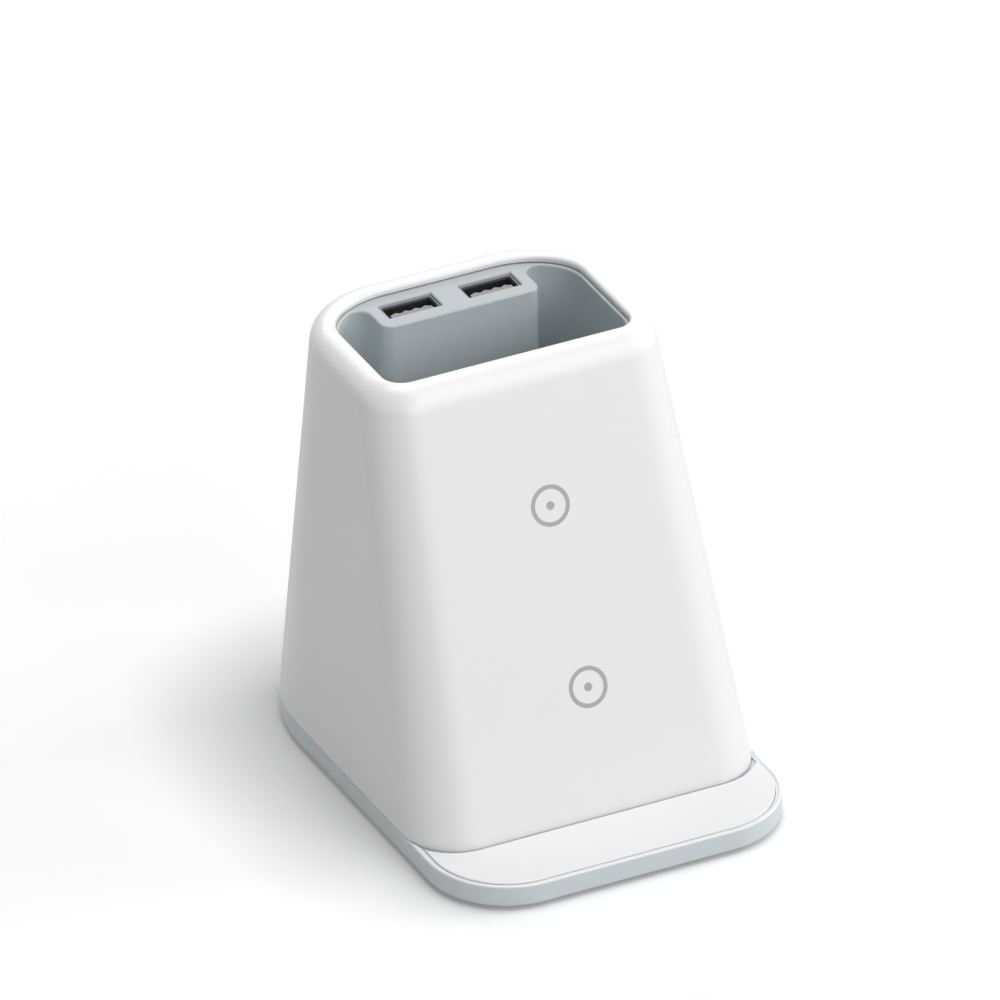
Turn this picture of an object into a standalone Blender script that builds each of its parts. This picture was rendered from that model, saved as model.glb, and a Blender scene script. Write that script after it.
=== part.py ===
"""Desk cup with two wireless charging coils behind its leaning face and two USB sockets.

Metres, +Z up, +Y to the back. The origin is on the table, under the middle of the base.
The cup is one moulded liner that hangs in the outer shell; the electronics sit round and under it.
"""

import math
from collections import namedtuple

import bmesh
import bpy
import numpy as np

# Base, as seen from above
BASE_WIDTH = 0.0869
BASE_DEPTH = 0.1140
BASE_FRONT_RADIUS = 0.0194
BASE_BACK_REACH_X = 0.0176
BASE_BACK_REACH_Y = 0.0300

# Base tray, from the table up
TABLE_GAP = 0.0010
BAND_HEIGHT = 0.0048
BAND_BEVEL = 0.0005
UNDERSIDE_BEVEL = 0.0004
TRAY_FLOOR = 0.0018
RIM_LAND = 0.0009
SEAT_DEPTH = 0.0017
LIP_THICKNESS = 0.0012
LIP_RISE = 0.0004
LEDGE_WALL = 0.0034
LEDGE_RIB = 0.0014
LEDGE_RIB_COUNT = 3

# Ledge plate that the phone stands on
PLATE_THICKNESS = 0.0015
PLATE_SETBACK = 0.00153
PLATE_BEVEL = 0.0002
PLATE_TO_TOWER = 0.00045

# Tower
HEIGHT = 0.1046
LEDGE_DEPTH = 0.01942
TOWER_SETBACK = 0.0001
FACE_RUN_SHARE = 0.3376
SIDE_DRAFT = math.radians(3.845)
BACK_DRAFT = math.radians(3.645)
FOOT_FRONT_RADIUS = 0.0135
CROWN_FRONT_RADIUS = 0.0110
CROWN_BACK_REACH_X = 0.0203
CROWN_BACK_REACH_Y = 0.0225
SHELL_WALL = 0.0022
SHELL_THICKENING = 0.0042

# Rolled rim round the mouth
RIM_SIDE_WIDTH = 0.0060
RIM_FRONT_WIDTH = 0.0042
RIM_BACK_WIDTH = 0.0069
RIM_ROLL_HEIGHT = 0.0055
RIM_EDGE_HEIGHT = 0.0010
RIM_ROLL_SHARE = 0.80
RIM_EDGE_SHARE = 0.17
MOUTH_FRONT_RADIUS = 0.0047
MOUTH_BACK_REACH_X = 0.0171
MOUTH_BACK_REACH_Y = 0.0125

# Cup liner with its port shelf
SHELF_DROP = 0.0018
FLANGE_LAP = 0.0015
FLANGE_THICKNESS = 0.0020
POCKET_MARGIN = 0.0007
POCKET_FRONT_MARGIN = 0.0012
LINER_WALL = 0.0016
LINER_TO_CAPACITOR = 0.0020
POCKET_DRAFT = math.radians(0.8)
POCKET_FLOOR_RADIUS = 0.0020
PORT_SETBACK = 0.0062
PORT_TO_BOSS = 0.00125
SHELF_END_MARGIN = 0.0030
SHELF_FRONT_MARGIN = 0.0037
SHELF_CORNER = 0.0027
SHELF_HOLLOW = 0.0030
HOLLOW_LIMIT_SHARE = 0.45
LEAST_ALCOVE = 0.0010

# USB-A sockets, standing on their own small board under the shelf
APERTURE_LENGTH = 0.0134
APERTURE_WIDTH = 0.0062
SOCKET_SINK = 0.0006
SOCKET_WALL = 0.0003
SOCKET_HEIGHT = 0.0140
INSULATOR_HEIGHT = 0.0040
TONGUE_SIDE_GAP = 0.00085
TONGUE_THICKNESS = 0.0018
TONGUE_SINK = 0.0005
TONGUE_SETBACK = 0.0003
CONTACT_COUNT = 4
CONTACT_PITCH = 0.0025
CONTACT_WIDTH = 0.0010
CONTACT_THICKNESS = 0.0002
CONTACT_LENGTH = 0.0070
PORT_BOARD_MARGIN = 0.00055
PORT_BOARD_WIDTH = 0.0118
PORT_BOARD_SHIFT = 0.0012
PORT_BOSS_RADIUS = 0.0021
PORT_BOSS_SPACING = 0.0064

# Coils, their ferrite sheets and the carrier behind the leaning face
COIL_MARGIN = 0.0010
COIL_TURNS = 8
COIL_PITCH = 0.00115
WIRE_RADIUS = 0.00035
COIL_TAIL_REACH = 0.0026
COIL_TAIL_ANGLE = math.radians(50)
LOWER_COIL_SHARE = 0.2788
COIL_SPACING_SHARE = 0.4039
FERRITE_GAP = 0.0016
FERRITE_WIDTH_SHARE = 0.56
FERRITE_THICKNESS = 0.0012
FERRITE_CORNER = 0.0020
CARRIER_SIDE = 0.0040
CARRIER_BORDER = 0.0012
CARRIER_THICKNESS = 0.0030
CARRIER_CORNER = 0.0030
CARRIER_WINDOW_RADIUS = 0.0080
TAB_THICKNESS = 0.0016
TAB_RADIUS = 0.0026
TAB_OUT = 0.0018
TAB_FROM_END = 0.0068
CARRIER_BOSS_RADIUS = 0.0023
LEAD_SLOT_WIDTH = 0.0036
LEAD_SLOT_HEIGHT = 0.0050
LEAD_RADIUS = 0.0008
LEAD_BEND = 0.0024
LEAD_DRIFT_SHARE = 0.75
HARNESS_BEND = 0.0032

# Main board and what stands on it
BOARD_TO_TOWER = 0.0036
BOARD_REACH = 0.0102
BOARD_TO_WALL = 0.00231
BOARD_THICKNESS = 0.0016
BOARD_CORNER = 0.0020
STANDOFF_HEIGHT = 0.0053
STANDOFF_RADIUS = 0.0025
STANDOFF_INSET = 0.0040
CHIP_SIDE = 0.0070
CHIP_HEIGHT = 0.0010
SMALL_CHIP_SIDE = 0.0050
INDUCTOR_SIDE = 0.0068
INDUCTOR_HEIGHT = 0.0030
CAPACITOR_LENGTH = 0.0072
CAPACITOR_WIDTH = 0.0040
CAPACITOR_HEIGHT = 0.0035
BULK_CAPACITOR_RADIUS = 0.0032
BULK_CAPACITOR_HEIGHT = 0.0045
HEADER_LENGTH = 0.0060
HEADER_WIDTH = 0.0036
HEADER_HEIGHT = 0.0032

# Places on the board, as shares of half its width and half its depth from its middle
BOARD_PLACE_SHARES = {
    "controller_chip": (0.0, 0.0),
    "bridge_chip_lower": (-0.30, -0.42),
    "bridge_chip_upper": (0.30, -0.42),
    "port_chip": (0.12, 0.40),
    "port_inductor": (0.55, -0.08),
    "resonant_capacitor_lower": (-0.62, -0.16),
    "resonant_capacitor_upper": (-0.62, 0.12),
    "bulk_capacitor": (-0.50, 0.48),
    "lead_header_lower": (-0.56, -0.72),
    "lead_header_upper": (-0.16, -0.72),
}

# Power inlet at the back, a USB-C receptacle
INLET_WIDTH = 0.0089
INLET_HEIGHT = 0.0033
INLET_LENGTH = 0.0095
INLET_WALL = 0.0003
INLET_TONGUE_WIDTH = 0.0066
INLET_TONGUE_THICKNESS = 0.0007
INLET_BLOCK_LENGTH = 0.0030
INLET_SINK = 0.0005

# Screws, their bosses and the posts under the cup liner
BASE_SCREW_RADIUS = 0.0013
BASE_SCREW_HEAD_RADIUS = 0.0027
BASE_SCREW_HEAD_HEIGHT = 0.0016
BASE_SCREW_LENGTH = 0.0098
BASE_BORE_DEPTH = 0.0030
TRAY_TOWER_RADIUS = 0.0045
SHELL_BOSS_RADIUS = 0.00325
SHELL_BOSS_HEIGHT = 0.0090
SHELL_BOSS_FROM_SIDE = 0.01021
SHELL_BOSS_FROM_FRONT = 0.0136
SHELL_BOSS_FROM_BACK = 0.02291
SHELL_RIB = 0.0016
SMALL_SCREW_RADIUS = 0.0009
SMALL_SCREW_HEAD_RADIUS = 0.0018
SMALL_SCREW_HEAD_HEIGHT = 0.0012
SMALL_SCREW_LENGTH = 0.0045
HEAD_CROWN_SHARE = 0.70
HEAD_EDGE_SHARE = 0.55
TIP_SHARE = 0.45
POST_RADIUS = 0.0022
POST_FRONT_FROM_MOUTH = 0.0035
POST_SPACING = 0.0180

# Rubber feet
FOOT_RADIUS = 0.0050
FOOT_RECESS = 0.0008
FOOT_FROM_SIDE = 0.0133
FOOT_FROM_FRONT = 0.0150
FOOT_FROM_BACK = 0.0120

# Gaps, cutter overrun and the sharpest corner left by an inset
SEAT_GAP = 0.0003
FINE_GAP = 0.0001
OVERRUN = 0.0010
LEAST_CORNER = 0.0003

# Facets
ARC_STEPS = 7
SMALL_ARC_STEPS = 3
ROLL_STEPS = 6
CIRCLE_SIDES = 24
SMALL_CIRCLE_SIDES = 12
POINTS_PER_TURN = 24
ROUTE_STEPS = 6

Outline = namedtuple("Outline", "half_width front back front_radius reach_x reach_y")

WHITE = ("white_plastic", (0.88, 0.88, 0.88), 0.32, 0.0)
PLATE_WHITE = ("plate_white", (0.92, 0.92, 0.92), 0.15, 0.0)
GREY_BLUE = ("grey_blue_plastic", (0.56, 0.61, 0.63), 0.45, 0.0)
RUBBER = ("dark_rubber", (0.05, 0.05, 0.05), 0.85, 0.0)
CARRIER_PLASTIC = ("carrier_plastic", (0.06, 0.06, 0.07), 0.6, 0.0)
FERRITE = ("ferrite", (0.10, 0.10, 0.11), 0.7, 0.0)
COPPER = ("coil_copper", (0.72, 0.36, 0.18), 0.35, 1.0)
STEEL = ("steel", (0.62, 0.62, 0.62), 0.3, 1.0)
BOARD_GREEN = ("board_green", (0.02, 0.18, 0.09), 0.4, 0.0)
CHIP_BLACK = ("chip_black", (0.03, 0.03, 0.03), 0.5, 0.0)
CERAMIC = ("capacitor_ceramic", (0.60, 0.42, 0.22), 0.5, 0.0)
HEADER_CREAM = ("header_cream", (0.80, 0.77, 0.66), 0.5, 0.0)
SOCKET_BLACK = ("socket_black", (0.02, 0.02, 0.02), 0.5, 0.0)
GOLD = ("contact_gold", (0.83, 0.62, 0.25), 0.3, 1.0)
LEAD_BLACK = ("lead_black", (0.03, 0.03, 0.03), 0.6, 0.0)

# Heights worked out from the sizes above
UNDERSIDE = TABLE_GAP
BAND_TOP = UNDERSIDE + BAND_HEIGHT
RIM_TOP = BAND_TOP + BAND_BEVEL
SEAT_Z = RIM_TOP - SEAT_DEPTH
CAVITY_Z = UNDERSIDE + TRAY_FLOOR
PLATE_TOP = SEAT_Z + SEAT_GAP + PLATE_THICKNESS
TOWER_FOOT_Z = PLATE_TOP
SHELL_BOTTOM = BAND_TOP + SEAT_GAP
LIP_TOP = RIM_TOP + LIP_RISE
SHELL_BOSS_BOTTOM = LIP_TOP + SEAT_GAP
SHELF_Z = HEIGHT - SHELF_DROP
BOARD_BOTTOM = CAVITY_Z + STANDOFF_HEIGHT + SEAT_GAP
BOARD_TOP = BOARD_BOTTOM + BOARD_THICKNESS
LINER_BOTTOM = BOARD_TOP + BULK_CAPACITOR_HEIGHT + LINER_TO_CAPACITOR
POCKET_FLOOR_Z = LINER_BOTTOM + LINER_WALL
POCKET_DEPTH = SHELF_Z - POCKET_FLOOR_Z
SOCKET_LENGTH = APERTURE_LENGTH - 2 * SEAT_GAP
SOCKET_WIDTH = APERTURE_WIDTH - 2 * SEAT_GAP
TONGUE_LENGTH = SOCKET_LENGTH - 2 * (SOCKET_WALL + TONGUE_SIDE_GAP)
SOCKET_TOP = SHELF_Z - SOCKET_SINK
SOCKET_BOTTOM = SOCKET_TOP - SOCKET_HEIGHT
PORT_BOARD_TOP = SOCKET_BOTTOM - SEAT_GAP
PORT_BOARD_BOTTOM = PORT_BOARD_TOP - BOARD_THICKNESS
PILOT_RADIUS = SMALL_SCREW_RADIUS + 2 * FINE_GAP
CLEARANCE_RADIUS = SMALL_SCREW_RADIUS + SEAT_GAP


def grown(outline, by):
    """The same outline with every side moved out by a length; a negative one moves it in."""
    return Outline(
        outline.half_width + by,
        outline.front - by,
        outline.back + by,
        max(outline.front_radius + by, LEAST_CORNER),
        max(outline.reach_x + by, LEAST_CORNER),
        max(outline.reach_y + by, LEAST_CORNER),
    )


def mixed(low, high, share):
    return Outline(*[a + (b - a) * share for a, b in zip(low, high)])


def box_outline(length, width, corner, centre_y=0.0):
    return Outline(length / 2, centre_y - width / 2, centre_y + width / 2, corner, corner, corner)


BASE = Outline(
    BASE_WIDTH / 2,
    -BASE_DEPTH / 2,
    BASE_DEPTH / 2,
    BASE_FRONT_RADIUS,
    BASE_BACK_REACH_X,
    BASE_BACK_REACH_Y,
)
TOWER_RISE = HEIGHT - TOWER_FOOT_Z
FACE_RUN = FACE_RUN_SHARE * BASE_DEPTH
FACE_LEAN = math.atan2(FACE_RUN, TOWER_RISE)
TOWER_FOOT = Outline(
    BASE.half_width - TOWER_SETBACK,
    BASE.front + LEDGE_DEPTH,
    BASE.back - TOWER_SETBACK,
    FOOT_FRONT_RADIUS,
    BASE.reach_x - TOWER_SETBACK,
    BASE.reach_y - TOWER_SETBACK,
)
TOWER_CROWN = Outline(
    TOWER_FOOT.half_width - TOWER_RISE * math.tan(SIDE_DRAFT),
    TOWER_FOOT.front + FACE_RUN,
    TOWER_FOOT.back - TOWER_RISE * math.tan(BACK_DRAFT),
    CROWN_FRONT_RADIUS,
    CROWN_BACK_REACH_X,
    CROWN_BACK_REACH_Y,
)
MOUTH = Outline(
    TOWER_CROWN.half_width - RIM_SIDE_WIDTH,
    TOWER_CROWN.front + RIM_FRONT_WIDTH,
    TOWER_CROWN.back - RIM_BACK_WIDTH,
    MOUTH_FRONT_RADIUS,
    MOUTH_BACK_REACH_X,
    MOUTH_BACK_REACH_Y,
)
FLANGE = grown(MOUTH, FLANGE_LAP)
POCKET = grown(MOUTH, -POCKET_MARGIN)._replace(front=MOUTH.front + POCKET_FRONT_MARGIN)
PORT_LINE = MOUTH.back - PORT_SETBACK
SHELF_FRONT = PORT_LINE - APERTURE_WIDTH / 2 - SHELF_FRONT_MARGIN
PORT_PITCH = APERTURE_LENGTH + 2 * (PORT_BOSS_RADIUS + PORT_TO_BOSS)
SHELF_HALF = PORT_PITCH / 2 + APERTURE_LENGTH / 2 + SHELF_END_MARGIN
PORT_BOARD_LENGTH = 2 * (SHELF_HALF - LINER_WALL - PORT_BOARD_MARGIN)
HARNESS_X = PORT_BOARD_LENGTH / 2 - HARNESS_BEND
HARNESS_Y = PORT_LINE + PORT_BOARD_SHIFT
POCKET_TAPER = POCKET_DEPTH * math.tan(POCKET_DRAFT)
FLOOR_SHRINK = POCKET_TAPER + POCKET_FLOOR_RADIUS
HAS_ALCOVES = POCKET.half_width - SHELF_HALF - 2 * FLOOR_SHRINK > LEAST_ALCOVE
PORTS = [("left", -PORT_PITCH / 2), ("right", PORT_PITCH / 2)]
PORT_BOSSES = [PORT_LINE + end * PORT_BOSS_SPACING / 2 for end in (-1, 1)]


def tower_outline(z):
    """The tower's outer outline at a height, before the rim rolls in."""
    return mixed(TOWER_FOOT, TOWER_CROWN, (z - TOWER_FOOT_Z) / TOWER_RISE)


def arc(centre_x, centre_y, reach_x, reach_y, start, end, steps):
    angles = np.radians(np.linspace(start, end, steps + 1))
    return [(centre_x + reach_x * math.cos(a), centre_y + reach_y * math.sin(a)) for a in angles]


def outline_points(o, steps=ARC_STEPS):
    """Anticlockwise from above, from the middle of the front's right corner round to its left one."""
    side_x, back_y = o.half_width - o.reach_x, o.back - o.reach_y
    corner_x, corner_y = o.half_width - o.front_radius, o.front + o.front_radius
    return (
        arc(corner_x, corner_y, o.front_radius, o.front_radius, -90, 0, steps)
        + arc(side_x, back_y, o.reach_x, o.reach_y, 0, 90, steps)
        + arc(-side_x, back_y, o.reach_x, o.reach_y, 90, 180, steps)
        + arc(-corner_x, corner_y, o.front_radius, o.front_radius, 180, 270, steps)
    )


def pocket_points(shrink):
    """The cup's inner outline: the mouth's shape with the port shelf standing into it from the back."""
    o = grown(POCKET, -shrink)
    shelf_half, shelf_front = SHELF_HALF + shrink, SHELF_FRONT - shrink
    if not HAS_ALCOVES:
        return outline_points(o._replace(back=shelf_front, reach_x=o.front_radius, reach_y=o.front_radius))
    corner = SHELF_CORNER + shrink
    hollow = min(SHELF_HOLLOW - shrink, HOLLOW_LIMIT_SHARE * (o.half_width - shelf_half))
    hollow = max(hollow, LEAST_CORNER)
    side_x, back_y = o.half_width - o.reach_x, o.back - o.reach_y
    across = (shelf_half + hollow - side_x) / (o.reach_x - hollow)
    turn = math.degrees(math.acos(across))
    hollow_y = back_y + (o.reach_y - hollow) * math.sin(math.radians(turn))
    corner_x, corner_y = o.half_width - o.front_radius, o.front + o.front_radius
    right = (
        arc(corner_x, corner_y, o.front_radius, o.front_radius, -90, 0, ARC_STEPS)
        + arc(side_x, back_y, o.reach_x, o.reach_y, 0, turn, ARC_STEPS)
        + arc(shelf_half + hollow, hollow_y, hollow, hollow, turn, 180, ARC_STEPS)[1:]
        + arc(shelf_half - corner, shelf_front + corner, corner, corner, 0, -90, SMALL_ARC_STEPS)
    )
    return right + [(-x, y) for x, y in reversed(right)]


def circle_points(radius, sides, x=0.0, y=0.0):
    angles = np.linspace(0, math.tau, sides, endpoint=False)
    return [(x + radius * math.cos(a), y + radius * math.sin(a)) for a in angles]


def at_height(points, z):
    return [(x, y, z) for x, y in points]


def finish_material(finish):
    name, colour, roughness, metallic = finish
    material = bpy.data.materials.get(name) or bpy.data.materials.new(name)
    material.use_nodes = True
    shader = material.node_tree.nodes["Principled BSDF"]
    shader.inputs["Base Color"].default_value = (*colour, 1)
    shader.inputs["Roughness"].default_value = roughness
    shader.inputs["Metallic"].default_value = metallic
    material.diffuse_color = (*colour, 1)
    return material


def piece(name, bm, finish=None, parent=None, place=(0, 0, 0)):
    """Turns a bmesh into a named object; one with no finish is a cutter."""
    bmesh.ops.recalc_face_normals(bm, faces=bm.faces)
    mesh = bpy.data.meshes.new(name)
    bm.to_mesh(mesh)
    bm.free()
    mesh.shade_smooth()
    mesh.set_sharp_from_angle(angle=math.radians(35))
    made = bpy.data.objects.new(name, mesh)
    made.location = place
    made.parent = parent
    bpy.context.scene.collection.objects.link(made)
    if finish:
        mesh.materials.append(finish_material(finish))
    else:
        made.hide_render = True
        made.display_type = "WIRE"
    return made


def lofted(name, rings, finish=None, parent=None, place=(0, 0, 0), tube=False):
    """Joins rings of equal length; a tube also joins the last ring to the first and has no caps."""
    bm = bmesh.new()
    made = [[bm.verts.new(point) for point in ring] for ring in rings]
    for low, high in zip(made, made[1:] + (made[:1] if tube else [])):
        for i in range(len(low)):
            j = (i + 1) % len(low)
            bm.faces.new((low[i], low[j], high[j], high[i]))
    if not tube:
        bm.faces.new(made[0])
        bm.faces.new(made[-1])
    return piece(name, bm, finish, parent, place)


def slab(name, outline, low, high, finish=None, parent=None, place=(0, 0, 0), steps=SMALL_ARC_STEPS):
    points = outline_points(outline, steps)
    return lofted(name, [at_height(points, low), at_height(points, high)], finish, parent, place)


def rod(name, radius, low, high, place=(0, 0, 0), finish=None, parent=None, sides=CIRCLE_SIDES):
    points = circle_points(radius, sides)
    return lofted(name, [at_height(points, low), at_height(points, high)], finish, parent, place)


def fine_rod(name, radius, low, high, place):
    """A thin rod or hole, which needs fewer sides."""
    return rod(name, radius, low, high, place, sides=SMALL_CIRCLE_SIDES)


def block(name, size, place, finish=None, parent=None):
    bm = bmesh.new()
    bmesh.ops.create_cube(bm, size=1)
    bmesh.ops.scale(bm, vec=size, verts=bm.verts)
    return piece(name, bm, finish, parent, place)


def screw(name, radius, head_radius, head_height, length, place, turn=(0, 0, 0), parent=None):
    """A pan-head screw with its head's seat at the origin and its shank along +Z."""
    profile = [
        (head_radius * HEAD_CROWN_SHARE, -head_height),
        (head_radius, -head_height * HEAD_EDGE_SHARE),
        (head_radius, 0),
        (radius, 0),
        (radius, length - radius),
        (radius * TIP_SHARE, length),
    ]
    rings = [at_height(circle_points(r, SMALL_CIRCLE_SIDES), z) for r, z in profile]
    made = lofted(name, rings, STEEL, parent, place)
    made.rotation_euler = turn
    return made


def boolean(target, tool, operation="DIFFERENCE"):
    modifier = target.modifiers.new(tool.name, "BOOLEAN")
    modifier.operation = operation
    modifier.object = tool
    return target


def joined(target, tool):
    return boolean(target, tool, "UNION")


def smooth_route(route):
    """A centripetal Catmull-Rom curve through the route's points, so that a lead bends smoothly."""

    def blend(low, high, start, end):
        return low + (high - low) * (knot - start) / (end - start)

    route = [np.array(point) for point in route]
    ends = [2 * route[0] - route[1], *route, 2 * route[-1] - route[-2]]
    points = []
    for a, b, c, d in zip(ends, ends[1:], ends[2:], ends[3:]):
        steps = [math.sqrt(np.linalg.norm(end - start)) for start, end in ((a, b), (b, c), (c, d))]
        ka, kb, kc, kd = np.cumsum([0, *steps])
        for knot in np.linspace(kb, kc, ROUTE_STEPS, endpoint=False):
            ab, bc, cd = blend(a, b, ka, kb), blend(b, c, kb, kc), blend(c, d, kc, kd)
            points.append(blend(blend(ab, bc, ka, kc), blend(bc, cd, kb, kd), kb, kc))
    return points + [route[-1]]


def wire(name, points, radius, finish, resolution=1, parent=None):
    curve = bpy.data.curves.new(name, "CURVE")
    curve.dimensions = "3D"
    curve.bevel_depth = radius
    curve.bevel_resolution = resolution
    curve.use_fill_caps = True
    spline = curve.splines.new("POLY")
    spline.points.add(len(points) - 1)
    for point, place in zip(spline.points, points):
        point.co = (*place, 1)
    curve.materials.append(finish_material(finish))
    made = bpy.data.objects.new(name, curve)
    made.parent = parent
    bpy.context.scene.collection.objects.link(made)
    return made


def corners(x, front, back):
    """The four places left and right, front and back, with the words for their names."""
    return [
        (f"{end}_{side}", sign * x, y)
        for end, y in (("front", front), ("back", back))
        for side, sign in (("left", -1), ("right", 1))
    ]


SHELL_BOSS_X = TOWER_FOOT.half_width - SHELL_BOSS_FROM_SIDE
BOARD_WIDTH = 2 * (SHELL_BOSS_X - TRAY_TOWER_RADIUS - BOARD_TO_TOWER)
SHELL_BOSSES = corners(
    SHELL_BOSS_X, TOWER_FOOT.front + SHELL_BOSS_FROM_FRONT, TOWER_FOOT.back - SHELL_BOSS_FROM_BACK
)
BOARD_BACK = TOWER_FOOT.back - SHELL_WALL - BOARD_TO_WALL
BOARD_FRONT = MOUTH.front - BOARD_REACH
BOARD_DEPTH = BOARD_BACK - BOARD_FRONT
BOARD_MIDDLE = (BOARD_FRONT + BOARD_BACK) / 2
STANDOFFS = corners(
    BOARD_WIDTH / 2 - STANDOFF_INSET,
    BOARD_FRONT + STANDOFF_INSET,
    BOARD_BACK - STANDOFF_INSET,
)
POST_X = BOARD_WIDTH / 2 + POST_RADIUS + 2 * SEAT_GAP
POST_FRONT = MOUTH.front + POST_FRONT_FROM_MOUTH
POSTS = corners(POST_X, POST_FRONT, POST_FRONT + POST_SPACING)
FEET = corners(BASE.half_width - FOOT_FROM_SIDE, BASE.front + FOOT_FROM_FRONT, BASE.back - FOOT_FROM_BACK)
INLET_Z = BOARD_TOP + SEAT_GAP + INLET_HEIGHT / 2
INLET_MOUTH = tower_outline(INLET_Z).back - INLET_SINK

# Depths behind the leaning face, along its inward normal
FACE_INNER = SHELL_WALL * math.cos(FACE_LEAN)
WIRE_IN = FACE_INNER + SEAT_GAP + FINE_GAP + WIRE_RADIUS
FERRITE_IN = WIRE_IN + WIRE_RADIUS + SEAT_GAP
CARRIER_IN = FERRITE_IN + FINE_GAP
RECESS_IN = FERRITE_IN + FERRITE_THICKNESS + SEAT_GAP
CARRIER_BACK_IN = CARRIER_IN + CARRIER_THICKNESS
TAB_IN = CARRIER_BACK_IN - TAB_THICKNESS
FACE_LENGTH = math.hypot(FACE_RUN, TOWER_RISE)
LOWER_COIL_UP = LOWER_COIL_SHARE * FACE_LENGTH
COIL_SPACING = COIL_SPACING_SHARE * FACE_LENGTH
COILS = [("lower", LOWER_COIL_UP), ("upper", LOWER_COIL_UP + COIL_SPACING)]
FERRITE_SIDE = min(COIL_SPACING - FERRITE_GAP, FERRITE_WIDTH_SHARE * 2 * TOWER_CROWN.half_width)
COIL_OUTER_RADIUS = FERRITE_SIDE / 2 - COIL_MARGIN
CARRIER_WIDTH = FERRITE_SIDE + 2 * CARRIER_SIDE
CARRIER_LOW = COILS[0][1] - FERRITE_SIDE / 2 - CARRIER_BORDER
CARRIER_HIGH = COILS[1][1] + FERRITE_SIDE / 2 + CARRIER_BORDER
TAB_X = CARRIER_WIDTH / 2 + TAB_OUT
TABS = corners(TAB_X, CARRIER_LOW + TAB_FROM_END, CARRIER_HIGH - TAB_FROM_END)
SLOT_X = -CARRIER_WIDTH / 2 + 2 * SEAT_GAP + LEAD_SLOT_WIDTH / 2


def face_frame():
    """An empty on the foot of the leaning face: X across, Y inwards, Z up along the face."""
    frame = bpy.data.objects.new("face_frame", None)
    frame.location = (0, TOWER_FOOT.front, TOWER_FOOT_Z)
    frame.rotation_euler = (-FACE_LEAN, 0, 0)
    bpy.context.scene.collection.objects.link(frame)
    return frame


def face_point(x, up, inward):
    """The world place of a point given across, up along and in behind the leaning face."""
    return (
        x,
        TOWER_FOOT.front + up * math.sin(FACE_LEAN) + inward * math.cos(FACE_LEAN),
        TOWER_FOOT_Z + up * math.cos(FACE_LEAN) - inward * math.sin(FACE_LEAN),
    )


def upright(name, points, near, far, finish=None, parent=None):
    """A plate that stands up: its points are across and up, and its two sides are near and far."""
    return lofted(name, [[(x, depth, up) for x, up in points] for depth in (near, far)], finish, parent)


def shell_rings():
    """Outer wall up, over the rolled rim, under its lip and down the inner wall."""
    roll_start = HEIGHT - RIM_ROLL_HEIGHT
    rings = [(TOWER_FOOT, SHELL_BOTTOM), (TOWER_FOOT, TOWER_FOOT_Z)]
    rings.append((tower_outline(roll_start), roll_start))

    def rolled(share, z):
        gap = [m - c for m, c in zip(MOUTH, TOWER_CROWN)]
        return Outline(*[o + g * share for o, g in zip(tower_outline(z), gap)])

    for turn in np.linspace(0, math.pi / 2, ROLL_STEPS + 1)[1:]:
        z = roll_start + RIM_ROLL_HEIGHT * math.sin(turn)
        rings.append((rolled(RIM_ROLL_SHARE * (1 - math.cos(turn)), z), z))
    for turn in np.linspace(0, math.pi / 2, SMALL_ARC_STEPS + 1):
        share = 1 - RIM_EDGE_SHARE * (1 - math.sin(turn))
        z = HEIGHT - RIM_EDGE_HEIGHT * (1 - math.cos(turn))
        rings.append((mixed(TOWER_CROWN, MOUTH, share), z))
    lip_z = SHELF_Z + SEAT_GAP
    recess = grown(FLANGE, SEAT_GAP)
    step_z = SHELF_Z - FLANGE_THICKNESS - SEAT_GAP
    rings += [(MOUTH, lip_z), (recess, lip_z), (recess, step_z)]
    inner_top = step_z - SHELL_THICKENING
    rings.append((grown(tower_outline(inner_top), -SHELL_WALL), inner_top))
    rings += [(grown(TOWER_FOOT, -SHELL_WALL), z) for z in (TOWER_FOOT_Z, SHELL_BOTTOM)]
    return [at_height(outline_points(o), z) for o, z in rings]


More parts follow.
